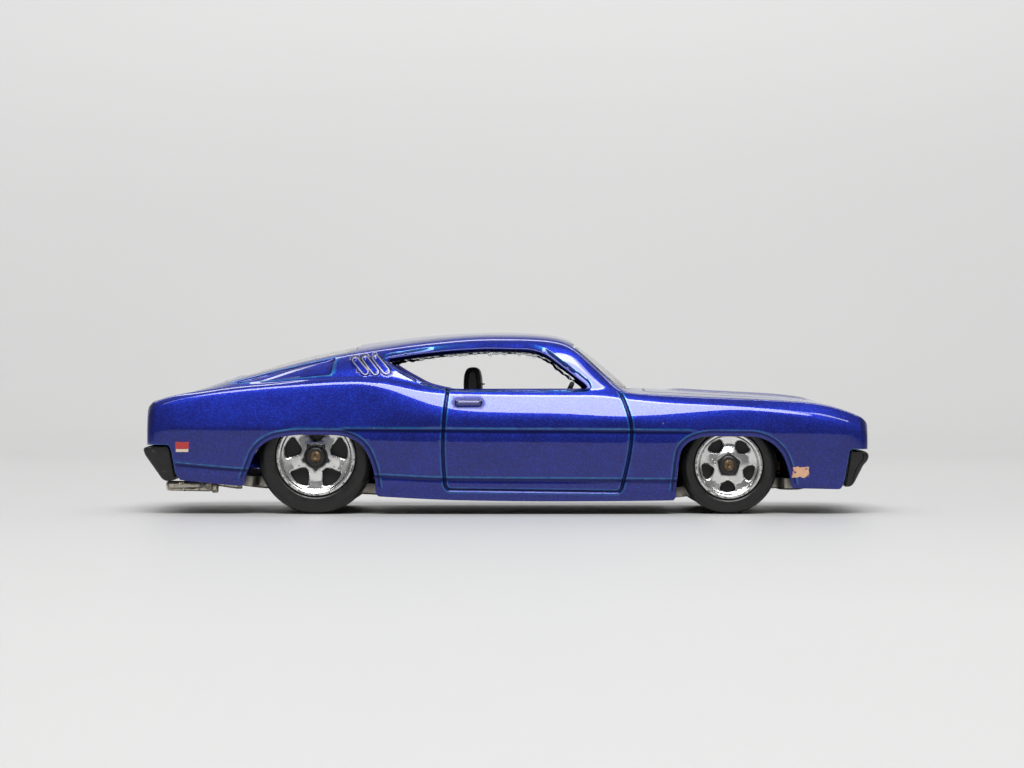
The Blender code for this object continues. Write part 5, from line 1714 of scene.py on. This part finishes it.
def build_exhaust(name, side):
    """A muffler with its band and collar, and the pipe that leads to it."""
    y = side * 9.4
    pipe = Patch()
    bar(pipe, [(-36.9, 2.45), (-31.95, 2.35), (-31.95, 3.4), (-36.9, 3.5)], y - 0.9, y + 0.9, edge=0.3, corner=0.28)
    bar(pipe, rectangle(-35.1, 2.36, -34.85, 3.44), y - 0.95, y + 0.95, edge=0.25, corner=0.06)
    bar(pipe, rectangle(-32.0, 2.2, -31.3, 3.1), y - 0.6, y + 0.6, edge=0.2, corner=0.15)
    tube(pipe, [(x, y, float(base_height(x)) - 0.32) for x in np.arange(-31.7, -28.3, 0.5)], 0.32)
    finished(pipe, name + "_pipe", EXHAUST, "car", "base_metal", name)


build_glass()
build_tub()
build_dashboard()
build_seat("driver_seat", SEAT_Y)
build_seat("passenger_seat", -SEAT_Y)
build_steering_wheel()
build_base()
for rivet in RIVETS:
    build_rivet(*rivet)
build_exhaust("exhaust_right", -1)
build_exhaust("exhaust_left", 1)


# ---- studio ----

CAMERA_PLACE = (0.59, -354.5, 14.0)
FOCAL_LENGTH = 111.7
AIM = (0, -14, 12)  # the middle of the near flank


def build_studio():
    """A floor that sweeps up into a wall behind the car."""
    half, flat_to, sweep, top = 900, 260, 180, 700
    profile = [(-half, 0.0), (flat_to, 0.0)]
    for turn in np.linspace(0.1, 1.0, 12) * math.pi / 2:
        profile.append((flat_to + sweep * math.sin(turn), sweep * (1 - math.cos(turn))))
    profile.append((flat_to + sweep, top))
    mesh = bpy.data.meshes.new("floor")
    verts = [(x * MM, y * MM, z * MM) for y, z in profile for x in (-half, half)]
    faces = [(2 * i, 2 * i + 1, 2 * i + 3, 2 * i + 2) for i in range(len(profile) - 1)]
    mesh.from_pydata(verts, [], faces)
    mesh.shade_smooth()
    mesh.materials.append(studio_floor())
    linked("floor", mesh)


def add_light(name, place, target, width, height, power, shape="RECTANGLE"):
    data = bpy.data.lights.new(name, "AREA")
    data.shape = shape
    data.size, data.size_y = width * MM, height * MM
    data.energy = power
    light = linked(name, data)
    light.location = Vector(place) * MM
    light.rotation_euler = (Vector(target) - Vector(place)).to_track_quat("-Z", "Y").to_euler()


def build_camera():
    """A level view of the car's right side, nose to the right."""
    data = bpy.data.cameras.new("camera")
    data.sensor_width = 36
    data.lens = FOCAL_LENGTH
    data.clip_start = 0.01
    camera = linked("camera", data)
    camera.location = [value * MM for value in CAMERA_PLACE]
    camera.rotation_euler = (math.pi / 2, 0, 0)
    bpy.context.scene.camera = camera


def build_world():
    world = bpy.data.worlds.new("studio")
    world.use_nodes = True
    colour, strength, *_ = world.node_tree.nodes["Background"].inputs
    colour.default_value = (0.95, 0.97, 1.0, 1)
    strength.default_value = 0.19
    bpy.context.scene.world = world


build_studio()
add_light("softbox", (0, -325, 403), AIM, 360, 305, 2.9, "ELLIPSE")
add_light("strip", (0, -221, 467), AIM, 660, 50, 0.75)
add_light("backdrop", (0, 180, 420), (0, 460, 60), 700, 120, 2.0)
build_camera()
build_world()
bpy.context.scene.view_settings.view_transform = "Standard"
